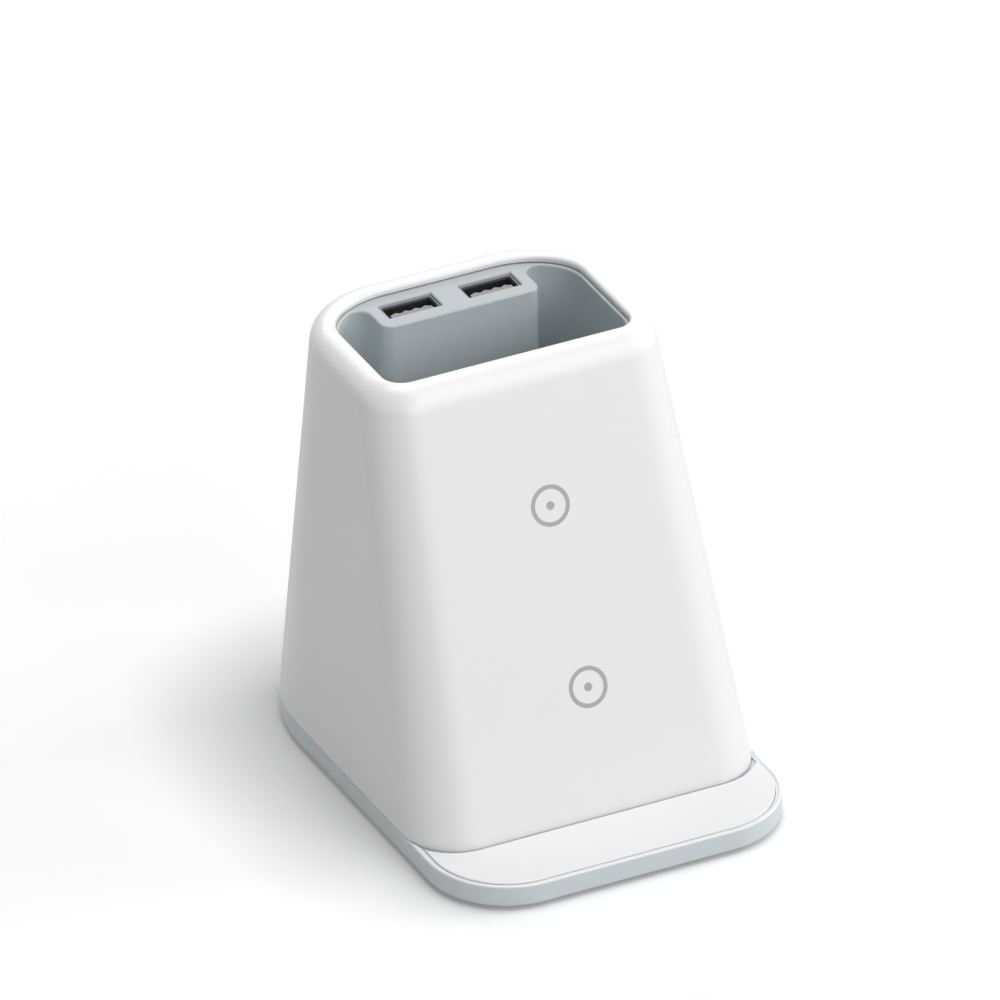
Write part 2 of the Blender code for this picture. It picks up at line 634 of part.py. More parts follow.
def outer_shell(frame):
    shell = lofted("outer_shell", shell_rings(), WHITE, tube=True)
    boss_top = SHELL_BOSS_BOTTOM + SHELL_BOSS_HEIGHT
    wall_x = tower_outline(boss_top).half_width - SHELL_WALL / 2
    rib_length = wall_x - SHELL_BOSS_X
    for name, x, y in SHELL_BOSSES:
        boss = rod(f"boss_{name}", SHELL_BOSS_RADIUS, SHELL_BOSS_BOTTOM, boss_top, (x, y, 0))
        middle = math.copysign(SHELL_BOSS_X + rib_length / 2, x)
        rib = block(
            f"rib_{name}",
            (rib_length, SHELL_RIB, SHELL_BOSS_HEIGHT - SHELL_RIB),
            (middle, y, boss_top - SHELL_BOSS_HEIGHT / 2),
        )
        pilot_radius, pilot_top = BASE_SCREW_RADIUS + SEAT_GAP, boss_top - SHELL_RIB
        pilot = fine_rod(f"pilot_{name}", pilot_radius, SHELL_BOSS_BOTTOM - OVERRUN, pilot_top, (x, y, 0))
        boolean(joined(joined(shell, rib), boss), pilot)
    boss_end = TAB_IN - SEAT_GAP
    for name, x, up in TABS:
        ring = circle_points(CARRIER_BOSS_RADIUS, SMALL_CIRCLE_SIDES, x, up)
        hole = circle_points(PILOT_RADIUS, SMALL_CIRCLE_SIDES, x, up)
        boss = upright(f"carrier_boss_{name}", ring, FACE_INNER / 2, boss_end, parent=frame)
        near, far = FACE_INNER - SEAT_GAP, boss_end + OVERRUN
        pilot = upright(f"carrier_pilot_{name}", hole, near, far, parent=frame)
        boolean(joined(shell, boss), pilot)
    width, height = INLET_WIDTH + 2 * SEAT_GAP, INLET_HEIGHT + 2 * SEAT_GAP
    inlet = box_outline(width, height, INLET_HEIGHT / 2 + FINE_GAP)
    mouth = [(x, z + INLET_Z) for x, z in outline_points(inlet, SMALL_ARC_STEPS)]
    far = INLET_MOUTH + INLET_SINK
    boolean(shell, upright("inlet_cutter", mouth, far - 2 * SHELL_WALL, far + OVERRUN))


def cup_liner():
    """A moulded cup: a flange under the rim, the port shelf at its back and one drafted pocket."""
    liner = slab("cup_liner", FLANGE, SHELF_Z - FLANGE_THICKNESS, SHELF_Z, GREY_BLUE, steps=ARC_STEPS)
    pocket = [(-FINE_GAP, SHELF_Z + OVERRUN), (0, SHELF_Z)]
    for turn in np.linspace(0, math.pi / 2, SMALL_ARC_STEPS + 1):
        rise = POCKET_FLOOR_RADIUS * (1 - math.sin(turn))
        pocket.append((POCKET_TAPER + POCKET_FLOOR_RADIUS * (1 - math.cos(turn)), POCKET_FLOOR_Z + rise))
    body = [(-LINER_WALL, SHELF_Z - FLANGE_THICKNESS / 2), (POCKET_TAPER - LINER_WALL, LINER_BOTTOM)]
    wall = lofted("liner_wall", [at_height(pocket_points(shrink), z) for shrink, z in body])
    hollow = lofted("liner_pocket", [at_height(pocket_points(shrink), z) for shrink, z in pocket])
    boolean(joined(liner, wall), hollow)
    boss_low = PORT_BOARD_TOP + SEAT_GAP
    for i, y in enumerate(PORT_BOSSES, 1):
        boss = rod(f"port_boss_{i}", PORT_BOSS_RADIUS, boss_low, SHELF_Z - FLANGE_THICKNESS / 2, (0, y, 0))
        hole_top = boss_low + SMALL_SCREW_LENGTH
        hole = fine_rod(f"port_pilot_{i}", PILOT_RADIUS, boss_low - OVERRUN, hole_top, (0, y, 0))
        boolean(joined(liner, boss), hole)
    for side, x in PORTS:
        size = (APERTURE_LENGTH, APERTURE_WIDTH, FLANGE_THICKNESS + 2 * OVERRUN)
        boolean(liner, block(f"aperture_{side}", size, (x, PORT_LINE, SHELF_Z - FLANGE_THICKNESS / 2)))


def base_tray():
    base_rings = [
        (grown(BASE, -UNDERSIDE_BEVEL), UNDERSIDE),
        (BASE, UNDERSIDE + UNDERSIDE_BEVEL),
        (BASE, BAND_TOP),
        (grown(BASE, -BAND_BEVEL), RIM_TOP),
    ]
    tray = lofted("base_tray", [at_height(outline_points(o), z) for o, z in base_rings], GREY_BLUE)
    inner = grown(TOWER_FOOT, -SHELL_WALL)
    lip_outer, lip_inner = grown(inner, -SEAT_GAP), grown(inner, -SEAT_GAP - LIP_THICKNESS)
    lip_low = SEAT_Z - LIP_THICKNESS
    lip = [(lip_outer, lip_low), (lip_outer, LIP_TOP), (lip_inner, LIP_TOP), (lip_inner, lip_low)]
    lip = lofted("tray_lip", [at_height(outline_points(o), z) for o, z in lip], tube=True)
    over = RIM_TOP + OVERRUN
    boolean(tray, slab("seat_cutter", grown(BASE, -RIM_LAND), SEAT_Z, over, steps=ARC_STEPS))
    joined(tray, slab("tower_land", TOWER_FOOT, lip_low, RIM_TOP - FINE_GAP, steps=ARC_STEPS))
    boolean(tray, slab("rim_cutter", grown(TOWER_FOOT, PLATE_TO_TOWER), BAND_TOP, over, steps=ARC_STEPS))
    joined(tray, lip)
    boolean(tray, slab("cavity_cutter", lip_inner, CAVITY_Z, over, steps=ARC_STEPS))
    ledge_front, ledge_back = BASE.front + LEDGE_WALL, TOWER_FOOT.front - SHELL_WALL
    ledge_half = BASE.half_width - LEDGE_WALL
    ledge = Outline(
        ledge_half,
        ledge_front,
        ledge_back,
        min(BASE.front_radius - LEDGE_WALL, ledge_back - ledge_front - SHELL_WALL),
        SHELL_WALL,
        SHELL_WALL,
    )
    boolean(tray, slab("ledge_cutter", ledge, CAVITY_Z, SEAT_Z + OVERRUN, steps=ARC_STEPS))
    rib_depth = ledge_back - ledge_front + LEDGE_WALL
    for i in range(LEDGE_RIB_COUNT):
        x = ledge_half * (2 * (i + 1) / (LEDGE_RIB_COUNT + 1) - 1)
        size = (LEDGE_RIB, rib_depth, SEAT_Z - CAVITY_Z + UNDERSIDE_BEVEL)
        place = (x, (ledge_front + ledge_back) / 2, SEAT_Z - size[2] / 2)
        joined(tray, block(f"ledge_rib_{i + 1}", size, place))
    add_tray_bosses(tray)


def add_tray_bosses(tray):
    floor = CAVITY_Z - TRAY_FLOOR / 2
    for name, x, y in SHELL_BOSSES:
        place = (x, y, 0)
        joined(tray, rod(f"screw_tower_{name}", TRAY_TOWER_RADIUS, floor, LIP_TOP, place))
        bore_top = UNDERSIDE + BASE_BORE_DEPTH
        head = BASE_SCREW_HEAD_RADIUS + SEAT_GAP
        boolean(tray, rod(f"counterbore_{name}", head, UNDERSIDE - OVERRUN, bore_top, place))
        hole = BASE_SCREW_RADIUS + SEAT_GAP
        boolean(tray, fine_rod(f"screw_hole_{name}", hole, bore_top - OVERRUN, LIP_TOP + OVERRUN, place))
    for name, x, y in POSTS:
        joined(tray, fine_rod(f"post_{name}", POST_RADIUS, floor, LINER_BOTTOM - SEAT_GAP, (x, y, 0)))
    for name, x, y in STANDOFFS:
        place = (x, y, 0)
        top = CAVITY_Z + STANDOFF_HEIGHT
        joined(tray, fine_rod(f"standoff_{name}", STANDOFF_RADIUS, floor, top, place))
        boolean(tray, fine_rod(f"standoff_hole_{name}", PILOT_RADIUS, CAVITY_Z, top + OVERRUN, place))
    for name, x, y in FEET:
        radius, top = FOOT_RADIUS + SEAT_GAP, UNDERSIDE + FOOT_RECESS
        boolean(tray, rod(f"foot_recess_{name}", radius, UNDERSIDE - OVERRUN, top, (x, y, 0)))


def ledge_plate():
    outline = grown(BASE, -PLATE_SETBACK)
    low = SEAT_Z + SEAT_GAP
    rings = [(outline, low), (outline, PLATE_TOP - PLATE_BEVEL), (grown(outline, -PLATE_BEVEL), PLATE_TOP)]
    plate = lofted("ledge_plate", [at_height(outline_points(o), z) for o, z in rings], PLATE_WHITE)
    tower = grown(TOWER_FOOT, PLATE_TO_TOWER)
    boolean(plate, slab("tower_cutter", tower, low - OVERRUN, PLATE_TOP + OVERRUN, steps=ARC_STEPS))


def feet():
    profile = [(FOOT_RADIUS - TABLE_GAP / 2, 0), (FOOT_RADIUS, TABLE_GAP / 2)]
    profile.append((FOOT_RADIUS, UNDERSIDE + FOOT_RECESS - SEAT_GAP))
    for name, x, y in FEET:
        rings = [at_height(circle_points(r, CIRCLE_SIDES), z) for r, z in profile]
        lofted(f"foot_{name}", rings, RUBBER, place=(x, y, 0))


def base_screws():
    seat = UNDERSIDE + BASE_BORE_DEPTH - SEAT_GAP
    for name, x, y in SHELL_BOSSES:
        screw(
            f"base_screw_{name}",
            BASE_SCREW_RADIUS,
            BASE_SCREW_HEAD_RADIUS,
            BASE_SCREW_HEAD_HEIGHT,
            BASE_SCREW_LENGTH,
            (x, y, seat),
        )


def coil_carrier(frame):
    """The plate that holds both ferrite sheets and coils against the leaning face."""
    half, middle = CARRIER_WIDTH / 2, (CARRIER_LOW + CARRIER_HIGH) / 2
    outline = box_outline(CARRIER_WIDTH, CARRIER_HIGH - CARRIER_LOW, CARRIER_CORNER, middle)
    points = outline_points(outline, SMALL_ARC_STEPS)
    carrier = upright("coil_carrier", points, CARRIER_IN, CARRIER_BACK_IN, CARRIER_PLASTIC, frame)
    relief_depth = TAB_IN - CARRIER_IN + OVERRUN
    for name, x, up in TABS:
        ring = circle_points(TAB_RADIUS, SMALL_CIRCLE_SIDES, x, up)
        hole = circle_points(PILOT_RADIUS, SMALL_CIRCLE_SIDES, x, up)
        tab = upright(f"tab_{name}", ring, TAB_IN, CARRIER_BACK_IN, parent=frame)
        link = block(
            f"tab_link_{name}",
            (TAB_X - half + TAB_OUT, TAB_THICKNESS, 2 * SMALL_SCREW_HEAD_RADIUS),
            (math.copysign((TAB_X + half - TAB_OUT) / 2, x), (TAB_IN + CARRIER_BACK_IN) / 2, up),
            parent=frame,
        )
        relief = block(
            f"tab_relief_{name}",
            (2 * CARRIER_BOSS_RADIUS + 4 * SEAT_GAP, relief_depth, 2 * TAB_RADIUS + 4 * SEAT_GAP),
            (x, TAB_IN - relief_depth / 2, up),
            parent=frame,
        )
        bore = upright(f"tab_hole_{name}", hole, TAB_IN - OVERRUN, CARRIER_BACK_IN + OVERRUN, parent=frame)
        boolean(boolean(joined(joined(carrier, link), tab), relief), bore)
    for name, up in COILS:
        side = FERRITE_SIDE + 2 * SEAT_GAP
        recess = outline_points(box_outline(side, side, FERRITE_CORNER + SEAT_GAP, up), SMALL_ARC_STEPS)
        window = circle_points(CARRIER_WINDOW_RADIUS, CIRCLE_SIDES, 0, up)
        boolean(carrier, upright(f"recess_{name}", recess, CARRIER_IN - OVERRUN, RECESS_IN, parent=frame))
        near, far = RECESS_IN - OVERRUN, CARRIER_BACK_IN + OVERRUN
        boolean(carrier, upright(f"window_{name}", window, near, far, parent=frame))
        depth = CARRIER_THICKNESS + 2 * OVERRUN
        slot = block(
            f"lead_slot_{name}",
            (LEAD_SLOT_WIDTH, depth, LEAD_SLOT_HEIGHT),
            (SLOT_X, CARRIER_IN + CARRIER_THICKNESS / 2, up),
            parent=frame,
        )
        boolean(carrier, slot)
    turn = (math.pi / 2, 0, 0)
    for name, x, up in TABS:
        place = (x, CARRIER_BACK_IN + SEAT_GAP, up)
        screw(
            f"carrier_screw_{name}",
            SMALL_SCREW_RADIUS,
            SMALL_SCREW_HEAD_RADIUS,
            SMALL_SCREW_HEAD_HEIGHT,
            CARRIER_BACK_IN + 2 * SEAT_GAP - FACE_INNER,
            place,
            turn,
            frame,
        )


def coil_points(up):
    """A flat spiral that runs out past its last turn to the lead slot."""
    end = math.pi
    start = end - math.tau * COIL_TURNS
    points = []
    for angle in np.linspace(start, end, COIL_TURNS * POINTS_PER_TURN + 1):
        radius = COIL_OUTER_RADIUS - COIL_PITCH * (end - angle) / math.tau
        tail = max(0.0, 1 - (end - angle) / COIL_TAIL_ANGLE)
        radius += COIL_TAIL_REACH * tail**2
        points.append((radius * math.cos(angle), WIRE_IN, up + radius * math.sin(angle)))
    return points


def least_gap(points):
    """The narrowest space between neighbouring turns of one winding, measured on its points."""
    places = np.array(points)
    apart = POINTS_PER_TURN // 2
    gaps = [
        np.linalg.norm(places[i + apart :] - places[i], axis=1).min()
        for i in range(len(places) - apart)
    ]
    return min(gaps) - 2 * WIRE_RADIUS


def coils(frame):
    for name, up in COILS:
        points = coil_points(up)
        wire(f"charging_coil_{name}", points, WIRE_RADIUS, COPPER, parent=frame)
        print(f"charging_coil_{name}: least gap between turns {1000 * least_gap(points):.2f} mm")
        side = outline_points(box_outline(FERRITE_SIDE, FERRITE_SIDE, FERRITE_CORNER, up), SMALL_ARC_STEPS)
        upright(f"ferrite_sheet_{name}", side, FERRITE_IN, FERRITE_IN + FERRITE_THICKNESS, FERRITE, frame)


def main_board():
    outline = box_outline(BOARD_WIDTH, BOARD_DEPTH, BOARD_CORNER, BOARD_MIDDLE)
    board = slab("main_board", outline, BOARD_BOTTOM, BOARD_TOP, BOARD_GREEN)
    for name, x, y in STANDOFFS:
        low, high = BOARD_BOTTOM - OVERRUN, BOARD_TOP + OVERRUN
        boolean(board, fine_rod(f"board_hole_{name}", CLEARANCE_RADIUS, low, high, (x, y, 0)))
        screw(
            f"board_screw_{name}",
            SMALL_SCREW_RADIUS,
            SMALL_SCREW_HEAD_RADIUS,
            SMALL_SCREW_HEAD_HEIGHT,
            SMALL_SCREW_LENGTH,
            (x, y, BOARD_TOP + SEAT_GAP),
            (math.pi, 0, 0),
        )


def board_place(name):
    """Where a piece stands on the main board."""
    across_share, along_share = BOARD_PLACE_SHARES[name]
    return across_share * BOARD_WIDTH / 2, BOARD_MIDDLE + along_share * BOARD_DEPTH / 2


def board_parts():
    low = BOARD_TOP + FINE_GAP
    small_chip = (SMALL_CHIP_SIDE, SMALL_CHIP_SIDE, CHIP_HEIGHT)
    capacitor = (CAPACITOR_LENGTH, CAPACITOR_WIDTH, CAPACITOR_HEIGHT)
    header = (HEADER_LENGTH, HEADER_WIDTH, HEADER_HEIGHT)
    parts = [
        ("controller_chip", (CHIP_SIDE, CHIP_SIDE, CHIP_HEIGHT), CHIP_BLACK),
        ("bridge_chip_lower", small_chip, CHIP_BLACK),
        ("bridge_chip_upper", small_chip, CHIP_BLACK),
        ("port_chip", small_chip, CHIP_BLACK),
        ("port_inductor", (INDUCTOR_SIDE, INDUCTOR_SIDE, INDUCTOR_HEIGHT), CHIP_BLACK),
        ("resonant_capacitor_lower", capacitor, CERAMIC),
        ("resonant_capacitor_upper", capacitor, CERAMIC),
        ("lead_header_lower", header, HEADER_CREAM),
        ("lead_header_upper", header, HEADER_CREAM),
    ]
    for name, size, finish in parts:
        block(name, size, (*board_place(name), low + size[2] / 2), finish)
    block("port_header", header, (HARNESS_X, HARNESS_Y, low + HEADER_HEIGHT / 2), HEADER_CREAM)
    place = (*board_place("bulk_capacitor"), 0)
    rod("bulk_capacitor", BULK_CAPACITOR_RADIUS, low, low + BULK_CAPACITOR_HEIGHT, place, STEEL)


def power_inlet():
    """A flat oval metal shell round a thin tongue, its mouth just inside the back wall."""
    outer = box_outline(INLET_WIDTH, INLET_HEIGHT, INLET_HEIGHT / 2 - FINE_GAP)
    inner = grown(outer, -INLET_WALL)
    back = INLET_MOUTH - INLET_LENGTH

    def ring(outline):
        return [(x, z + INLET_Z) for x, z in outline_points(outline, SMALL_ARC_STEPS)]

    shell = upright("inlet_shell", ring(outer), back, INLET_MOUTH, STEEL)
    boolean(shell, upright("inlet_bore", ring(inner), back + INLET_WALL, INLET_MOUTH + OVERRUN))
    block_outline = grown(inner, -FINE_GAP)
    start = back + INLET_WALL + FINE_GAP
    insulator = upright("inlet_tongue", ring(block_outline), start, start + INLET_BLOCK_LENGTH, SOCKET_BLACK)
    length = INLET_MOUTH - 2 * SEAT_GAP - start
    tongue = block(
        "inlet_tongue_blade",
        (INLET_TONGUE_WIDTH, length - INLET_WALL, INLET_TONGUE_THICKNESS),
        (0, start + (length + INLET_WALL) / 2, INLET_Z),
    )
    joined(insulator, tongue)


def usb_sockets():
    tongue_y = PORT_LINE - SOCKET_WIDTH / 2 + SOCKET_WALL + TONGUE_SETBACK + TONGUE_THICKNESS / 2
    insulator_low = SOCKET_BOTTOM + SOCKET_WALL + FINE_GAP
    tongue_top = SOCKET_TOP - TONGUE_SINK
    for side, x in PORTS:
        middle = (SOCKET_TOP + SOCKET_BOTTOM) / 2
        outside = (SOCKET_LENGTH, SOCKET_WIDTH, SOCKET_HEIGHT)
        case = block(f"usb_shell_{side}", outside, (x, PORT_LINE, middle), STEEL)
        inside = (SOCKET_LENGTH - 2 * SOCKET_WALL, SOCKET_WIDTH - 2 * SOCKET_WALL, SOCKET_HEIGHT)
        boolean(case, block(f"socket_bore_{side}", inside, (x, PORT_LINE, middle + SOCKET_WALL)))
        size = (inside[0] - 2 * FINE_GAP, inside[1] - 2 * FINE_GAP, INSULATOR_HEIGHT)
        body = block(
            f"usb_tongue_{side}", size, (x, PORT_LINE, insulator_low + INSULATOR_HEIGHT / 2), SOCKET_BLACK
        )
        height = tongue_top - insulator_low
        blade = (TONGUE_LENGTH, TONGUE_THICKNESS, height - SOCKET_WALL)
        joined(
            body,
            block(f"tongue_blade_{side}", blade, (x, tongue_y, tongue_top - blade[2] / 2)),
        )
        contact_y = tongue_y + TONGUE_THICKNESS / 2 + FINE_GAP + CONTACT_THICKNESS / 2
        for i in range(CONTACT_COUNT):
            along = (i - (CONTACT_COUNT - 1) / 2) * CONTACT_PITCH
            contact = (CONTACT_WIDTH, CONTACT_THICKNESS, CONTACT_LENGTH)
            place = (x + along, contact_y, tongue_top - SEAT_GAP - CONTACT_LENGTH / 2)
            block(f"usb_contact_{side}_{i + 1}", contact, place, GOLD)


def port_board():
    middle = PORT_LINE + PORT_BOARD_SHIFT
    outline = box_outline(PORT_BOARD_LENGTH, PORT_BOARD_WIDTH, BOARD_CORNER / 2, middle)
    board = slab("port_board", outline, PORT_BOARD_BOTTOM, PORT_BOARD_TOP, BOARD_GREEN)
    for i, y in enumerate(PORT_BOSSES, 1):
        low, high = PORT_BOARD_BOTTOM - OVERRUN, PORT_BOARD_TOP + OVERRUN
        boolean(board, fine_rod(f"port_hole_{i}", CLEARANCE_RADIUS, low, high, (0, y, 0)))
        screw(
            f"port_screw_{i}",
            SMALL_SCREW_RADIUS,
            SMALL_SCREW_HEAD_RADIUS - FINE_GAP * 2,
            SMALL_SCREW_HEAD_HEIGHT,
            SMALL_SCREW_LENGTH,
            (0, y, PORT_BOARD_BOTTOM - SEAT_GAP),
        )


def leads():
    """Each coil's lead passes its slot, runs down behind the carrier and ends in its header."""
    behind = CARRIER_BACK_IN + SMALL_SCREW_HEAD_HEIGHT + LEAD_RADIUS
    start_in = WIRE_IN + WIRE_RADIUS + SEAT_GAP
    header_top = BOARD_TOP + FINE_GAP + HEADER_HEIGHT
    x = -COIL_OUTER_RADIUS - COIL_TAIL_REACH
    for i, (name, up) in enumerate(COILS):
        turn_x = x + 2 * i * LEAD_BEND
        header_x, header_y = board_place(f"lead_header_{name}")
        route = [
            face_point(x, up, start_in),
            face_point(x, up, start_in + LEAD_BEND),
            face_point(x, up - LEAD_BEND / 2, behind - LEAD_RADIUS),
            face_point(x, up - 2 * LEAD_BEND, behind),
            face_point(x + (turn_x - x) * LEAD_DRIFT_SHARE, (up + CARRIER_LOW) / 2, behind),
            face_point(turn_x, CARRIER_LOW + LEAD_BEND, behind + LEAD_BEND),
            (header_x - LEAD_BEND, header_y - 2 * LEAD_BEND, header_top + 2 * LEAD_BEND),
            (header_x, header_y, header_top + SEAT_GAP + LEAD_BEND),
            (header_x, header_y, header_top + SEAT_GAP),
        ]
        wire(f"coil_lead_{name}", smooth_route(route), LEAD_RADIUS, LEAD_BLACK, 2)


def port_harness():
    """It runs straight down between the two walls, from the port board to its header."""
    top = PORT_BOARD_BOTTOM - SEAT_GAP
    low = BOARD_TOP + FINE_GAP + HEADER_HEIGHT + SEAT_GAP
    sag = HARNESS_Y + LEAD_RADIUS
    route = [
        (HARNESS_X, HARNESS_Y, top),
        (HARNESS_X, HARNESS_Y, top - HARNESS_BEND),
        (HARNESS_X, sag, (top + low) / 2),
        (HARNESS_X, HARNESS_Y, low + HARNESS_BEND),
        (HARNESS_X, HARNESS_Y, low),
    ]
    wire("port_harness", smooth_route(route), LEAD_RADIUS, LEAD_BLACK, 2)


def main():
    for old in list(bpy.data.objects):
        bpy.data.objects.remove(old)
    frame = face_frame()
    outer_shell(frame)
    cup_liner()
    base_tray()
    ledge_plate()
    feet()
    base_screws()
    coil_carrier(frame)
    coils(frame)
    main_board()
    board_parts()
    power_inlet()
    usb_sockets()
    port_board()
    leads()
    port_harness()


main()
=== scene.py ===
"""Looks of the desk charging cup: fine mouldings, sockets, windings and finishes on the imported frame.

Metres, +Z up, +Y to the back. The sizes repeat those that the solids are made from.
"""

import math
from collections import namedtuple

import bmesh
import bpy
import numpy as np
from mathutils import Matrix, Vector


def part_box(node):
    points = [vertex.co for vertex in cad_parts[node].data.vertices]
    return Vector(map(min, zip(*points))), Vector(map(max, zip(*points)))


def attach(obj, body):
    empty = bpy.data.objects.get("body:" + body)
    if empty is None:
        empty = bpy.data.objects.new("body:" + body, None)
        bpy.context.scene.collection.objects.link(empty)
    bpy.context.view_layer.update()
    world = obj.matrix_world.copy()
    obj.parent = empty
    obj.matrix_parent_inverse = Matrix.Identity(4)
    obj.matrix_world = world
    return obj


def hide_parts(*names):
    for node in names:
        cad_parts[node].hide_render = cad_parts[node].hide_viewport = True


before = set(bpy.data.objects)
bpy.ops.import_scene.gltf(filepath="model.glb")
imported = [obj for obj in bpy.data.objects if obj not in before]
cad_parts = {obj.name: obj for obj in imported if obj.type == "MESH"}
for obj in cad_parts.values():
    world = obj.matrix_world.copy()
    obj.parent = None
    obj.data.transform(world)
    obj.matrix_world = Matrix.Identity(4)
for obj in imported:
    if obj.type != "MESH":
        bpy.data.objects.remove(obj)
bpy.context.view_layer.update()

Outline = namedtuple("Outline", "half_width front back front_radius reach_x reach_y")
Place = namedtuple("Place", "x y z")

# Base tray and ledge plate
BASE = Outline(0.04345, -0.0570, 0.0570, 0.0194, 0.0176, 0.0300)
UNDERSIDE = 0.0010
CAVITY_Z = 0.0028
TRAY_SIDE = 0.0034
STANDOFF_TOP = 0.0081
SEAT_Z = 0.0046
BAND_TOP = 0.0058
LIP_TOP = 0.0067
LIP_SINK, LIP_WALL = 0.0012, 0.0012
RIM_TOP = 0.0063
RIM_LAND, RIM_EDGE = 0.0009, 0.00025
UNDER_ROUND = 0.0007
PLATE_LOW = 0.0049
PLATE_TOP = 0.0064
PLATE_SETBACK = 0.00153
PLATE_ROUND = 0.00025
PLATE_TO_TOWER, PLATE_TO_SIDE = 0.00065, 0.0015
STEP_TOP = 0.0059
BEAD_TOP = 0.0053
BEAD_FROM, BEAD_SHORT = 0.00005, 0.00005
SCREW_TOWER, LINER_POST, BOARD_STAND = 0.0045, 0.0022, 0.0025
BORE_RADII, BORE_DEPTH = (0.0034, 0.0030), 0.0030
FOOT_X, FOOT_FRONT, FOOT_BACK = BASE.half_width - 0.0133, BASE.front + 0.0150, BASE.back - 0.0120
FOOT_RADII, FOOT_SINK = (0.0056, 0.0053), 0.0008

# Tower and its rolled rim
HEIGHT = 0.1046
TOWER_FOOT = Outline(0.04335, -0.03758, 0.0569, 0.0135, 0.0175, 0.0299)
FACE_RUN = 0.0384864
TOWER_RISE = HEIGHT - PLATE_TOP
TOWER_CROWN = Outline(
    TOWER_FOOT.half_width - TOWER_RISE * math.tan(math.radians(3.845)),
    TOWER_FOOT.front + FACE_RUN,
    TOWER_FOOT.back - TOWER_RISE * math.tan(math.radians(3.645)),
    0.0110,
    0.0203,
    0.0225,
)
MOUTH = Outline(
    TOWER_CROWN.half_width - 0.0060,
    TOWER_CROWN.front + 0.0042,
    TOWER_CROWN.back - 0.0069,
    0.0047,
    0.0171,
    0.0125,
)
POCKET = Outline(
    MOUTH.half_width - 0.0007,
    MOUTH.front + 0.0012,
    MOUTH.back - 0.0007,
    MOUTH.front_radius - 0.0007,
    MOUTH.reach_x - 0.0007,
    MOUTH.reach_y - 0.0007,
)
SHELL_WALL = 0.0022
SHELL_THICKENING = 0.0042
SHELL_BOTTOM = 0.0059
SHELL_CHAMFER = 0.0001
BOSS_RADIUS, BOSS_HEIGHT = 0.00325, 0.0090
ROLL_HEIGHT, ROLL_SHARE = 0.0055, 0.80
EDGE_HEIGHT, EDGE_SHARE = 0.0010, 0.17

# Cup liner and its port shelf
SHELF_Z = 0.1028
FLANGE_THICKNESS, FLANGE_REACH = 0.0020, 0.0015
LINER_WALL = 0.0016
LINER_BOTTOM = 0.0165
POCKET_FLOOR_Z = 0.0181
POCKET_FLOOR_RADIUS = 0.0020
POCKET_TAPER = (SHELF_Z - POCKET_FLOOR_Z) * math.tan(math.radians(0.8))
POCKET_EDGE = 0.0005
SHELF_CORNER, SHELF_HOLLOW = 0.0027, 0.0030
PORT_LINE = MOUTH.back - 0.0062
SHELF_FRONT = PORT_LINE - 0.0031 - 0.0037
PORT_PITCH = 0.0201
CONTACT_PITCH = 0.0025
SHELF_HALF = PORT_PITCH / 2 + 0.0067 + 0.0030
APERTURE = (0.0134, 0.0062)
APERTURE_EDGE = 0.00045
PORT_BOSS_RADIUS = 0.0021
PORT_BOSSES = (PORT_LINE - 0.0032, PORT_LINE + 0.0032)

# The leaning face
FACE_LEAN = math.atan2(FACE_RUN, TOWER_RISE)
FACE_INNER = SHELL_WALL * math.cos(FACE_LEAN)
COIL_UPS = {"lower": 0.029406, "upper": 0.072007}
MARK_ASIDE = {"lower": 0.0022, "upper": 0.0006}
CARRIER_FACE, CARRIER_BACK, CARRIER_HALF = 0.00495, 0.00655, 0.0205
TAB_X, TAB_UPS, TAB_BOSS = 0.0263, (0.0145, 0.0869), 0.0023
COIL_TURNS, COIL_PITCH, COIL_OUTER, LEAD_OUT = 8, 0.00115, 0.0195, 0.0026
WIRE_DEPTH, WIRE_RADIUS, LEAD_RADIUS = 0.0028, 0.00035, 0.0008

# The power inlet's height, and its hole: length, width and corner
INLET_Z, INLET_HOLE = 0.01195, (0.0095, 0.0039, 0.00175)

# Gaps, overrun of cutters and the sharpest corner of an inset
SEAT_GAP = 0.0003
OVERRUN = 0.0010
LEAST_CORNER = 0.0003

# Pilot holes of the base's screws and of the small ones
BASE_PILOT, PILOT = 0.0016, 0.0011

# Facets
CORNER_STEPS = 20
SMALL_CORNER_STEPS = 8
ROLL_STEPS = 26
STRAIGHT_LEAD = 0.00018
FINE_SIDES = 48
ROUTE_STEPS = 24
EDGE_ANGLE, SCREW_ANGLE = 32, 28

# Booleans, the origin and four corners in their order
ADD, CUT, KEEP = "UNION", "DIFFERENCE", "INTERSECT"
ORIGIN = (0.0, 0.0, 0.0)
CORNER_NAMES = [f"{end}_{side}" for end in ("front", "back") for side in ("left", "right")]

# Finishes
GRAIN, GRAIN_DEPTH, LEAST_ROUGHNESS = 0.00035, 0.000004, 0.03
TRAY_COLOUR = (0.675, 0.732, 0.760)
# Paler colour painted on the rim's chamfer as a highlight
CHAMFER_PAINTED_HIGHLIGHT = (0.76, 0.80, 0.82)
LINER_COLOUR = (0.590, 0.640, 0.662)
# How much darker the liner's top faces are painted, as shade
SHELF_PAINTED_SHADE = 0.74

# Floor and light
FLOOR_SHOWN, FLOOR_BOUNCE = 0.98, 0.72
# FLOOR_LIFT is the least share of white glow that lightens the floor's shadow near the object
FLOOR_REACH, FLOOR_NEAR, FLOOR_FADE, FLOOR_LIFT = 6.0, 0.13, 0.25, 0.20
# Painted soft shadow on the floor: where the occlusion test looks, how far it reaches and how dark it paints
SHADE_SIDE = (0.60, -0.55, 0.58)
SHADE_REACH, SHADE_DEPTH = 0.035, 0.80
LIGHTS_AIM = (0, 0, 0.05)


# Shader and geometry trees


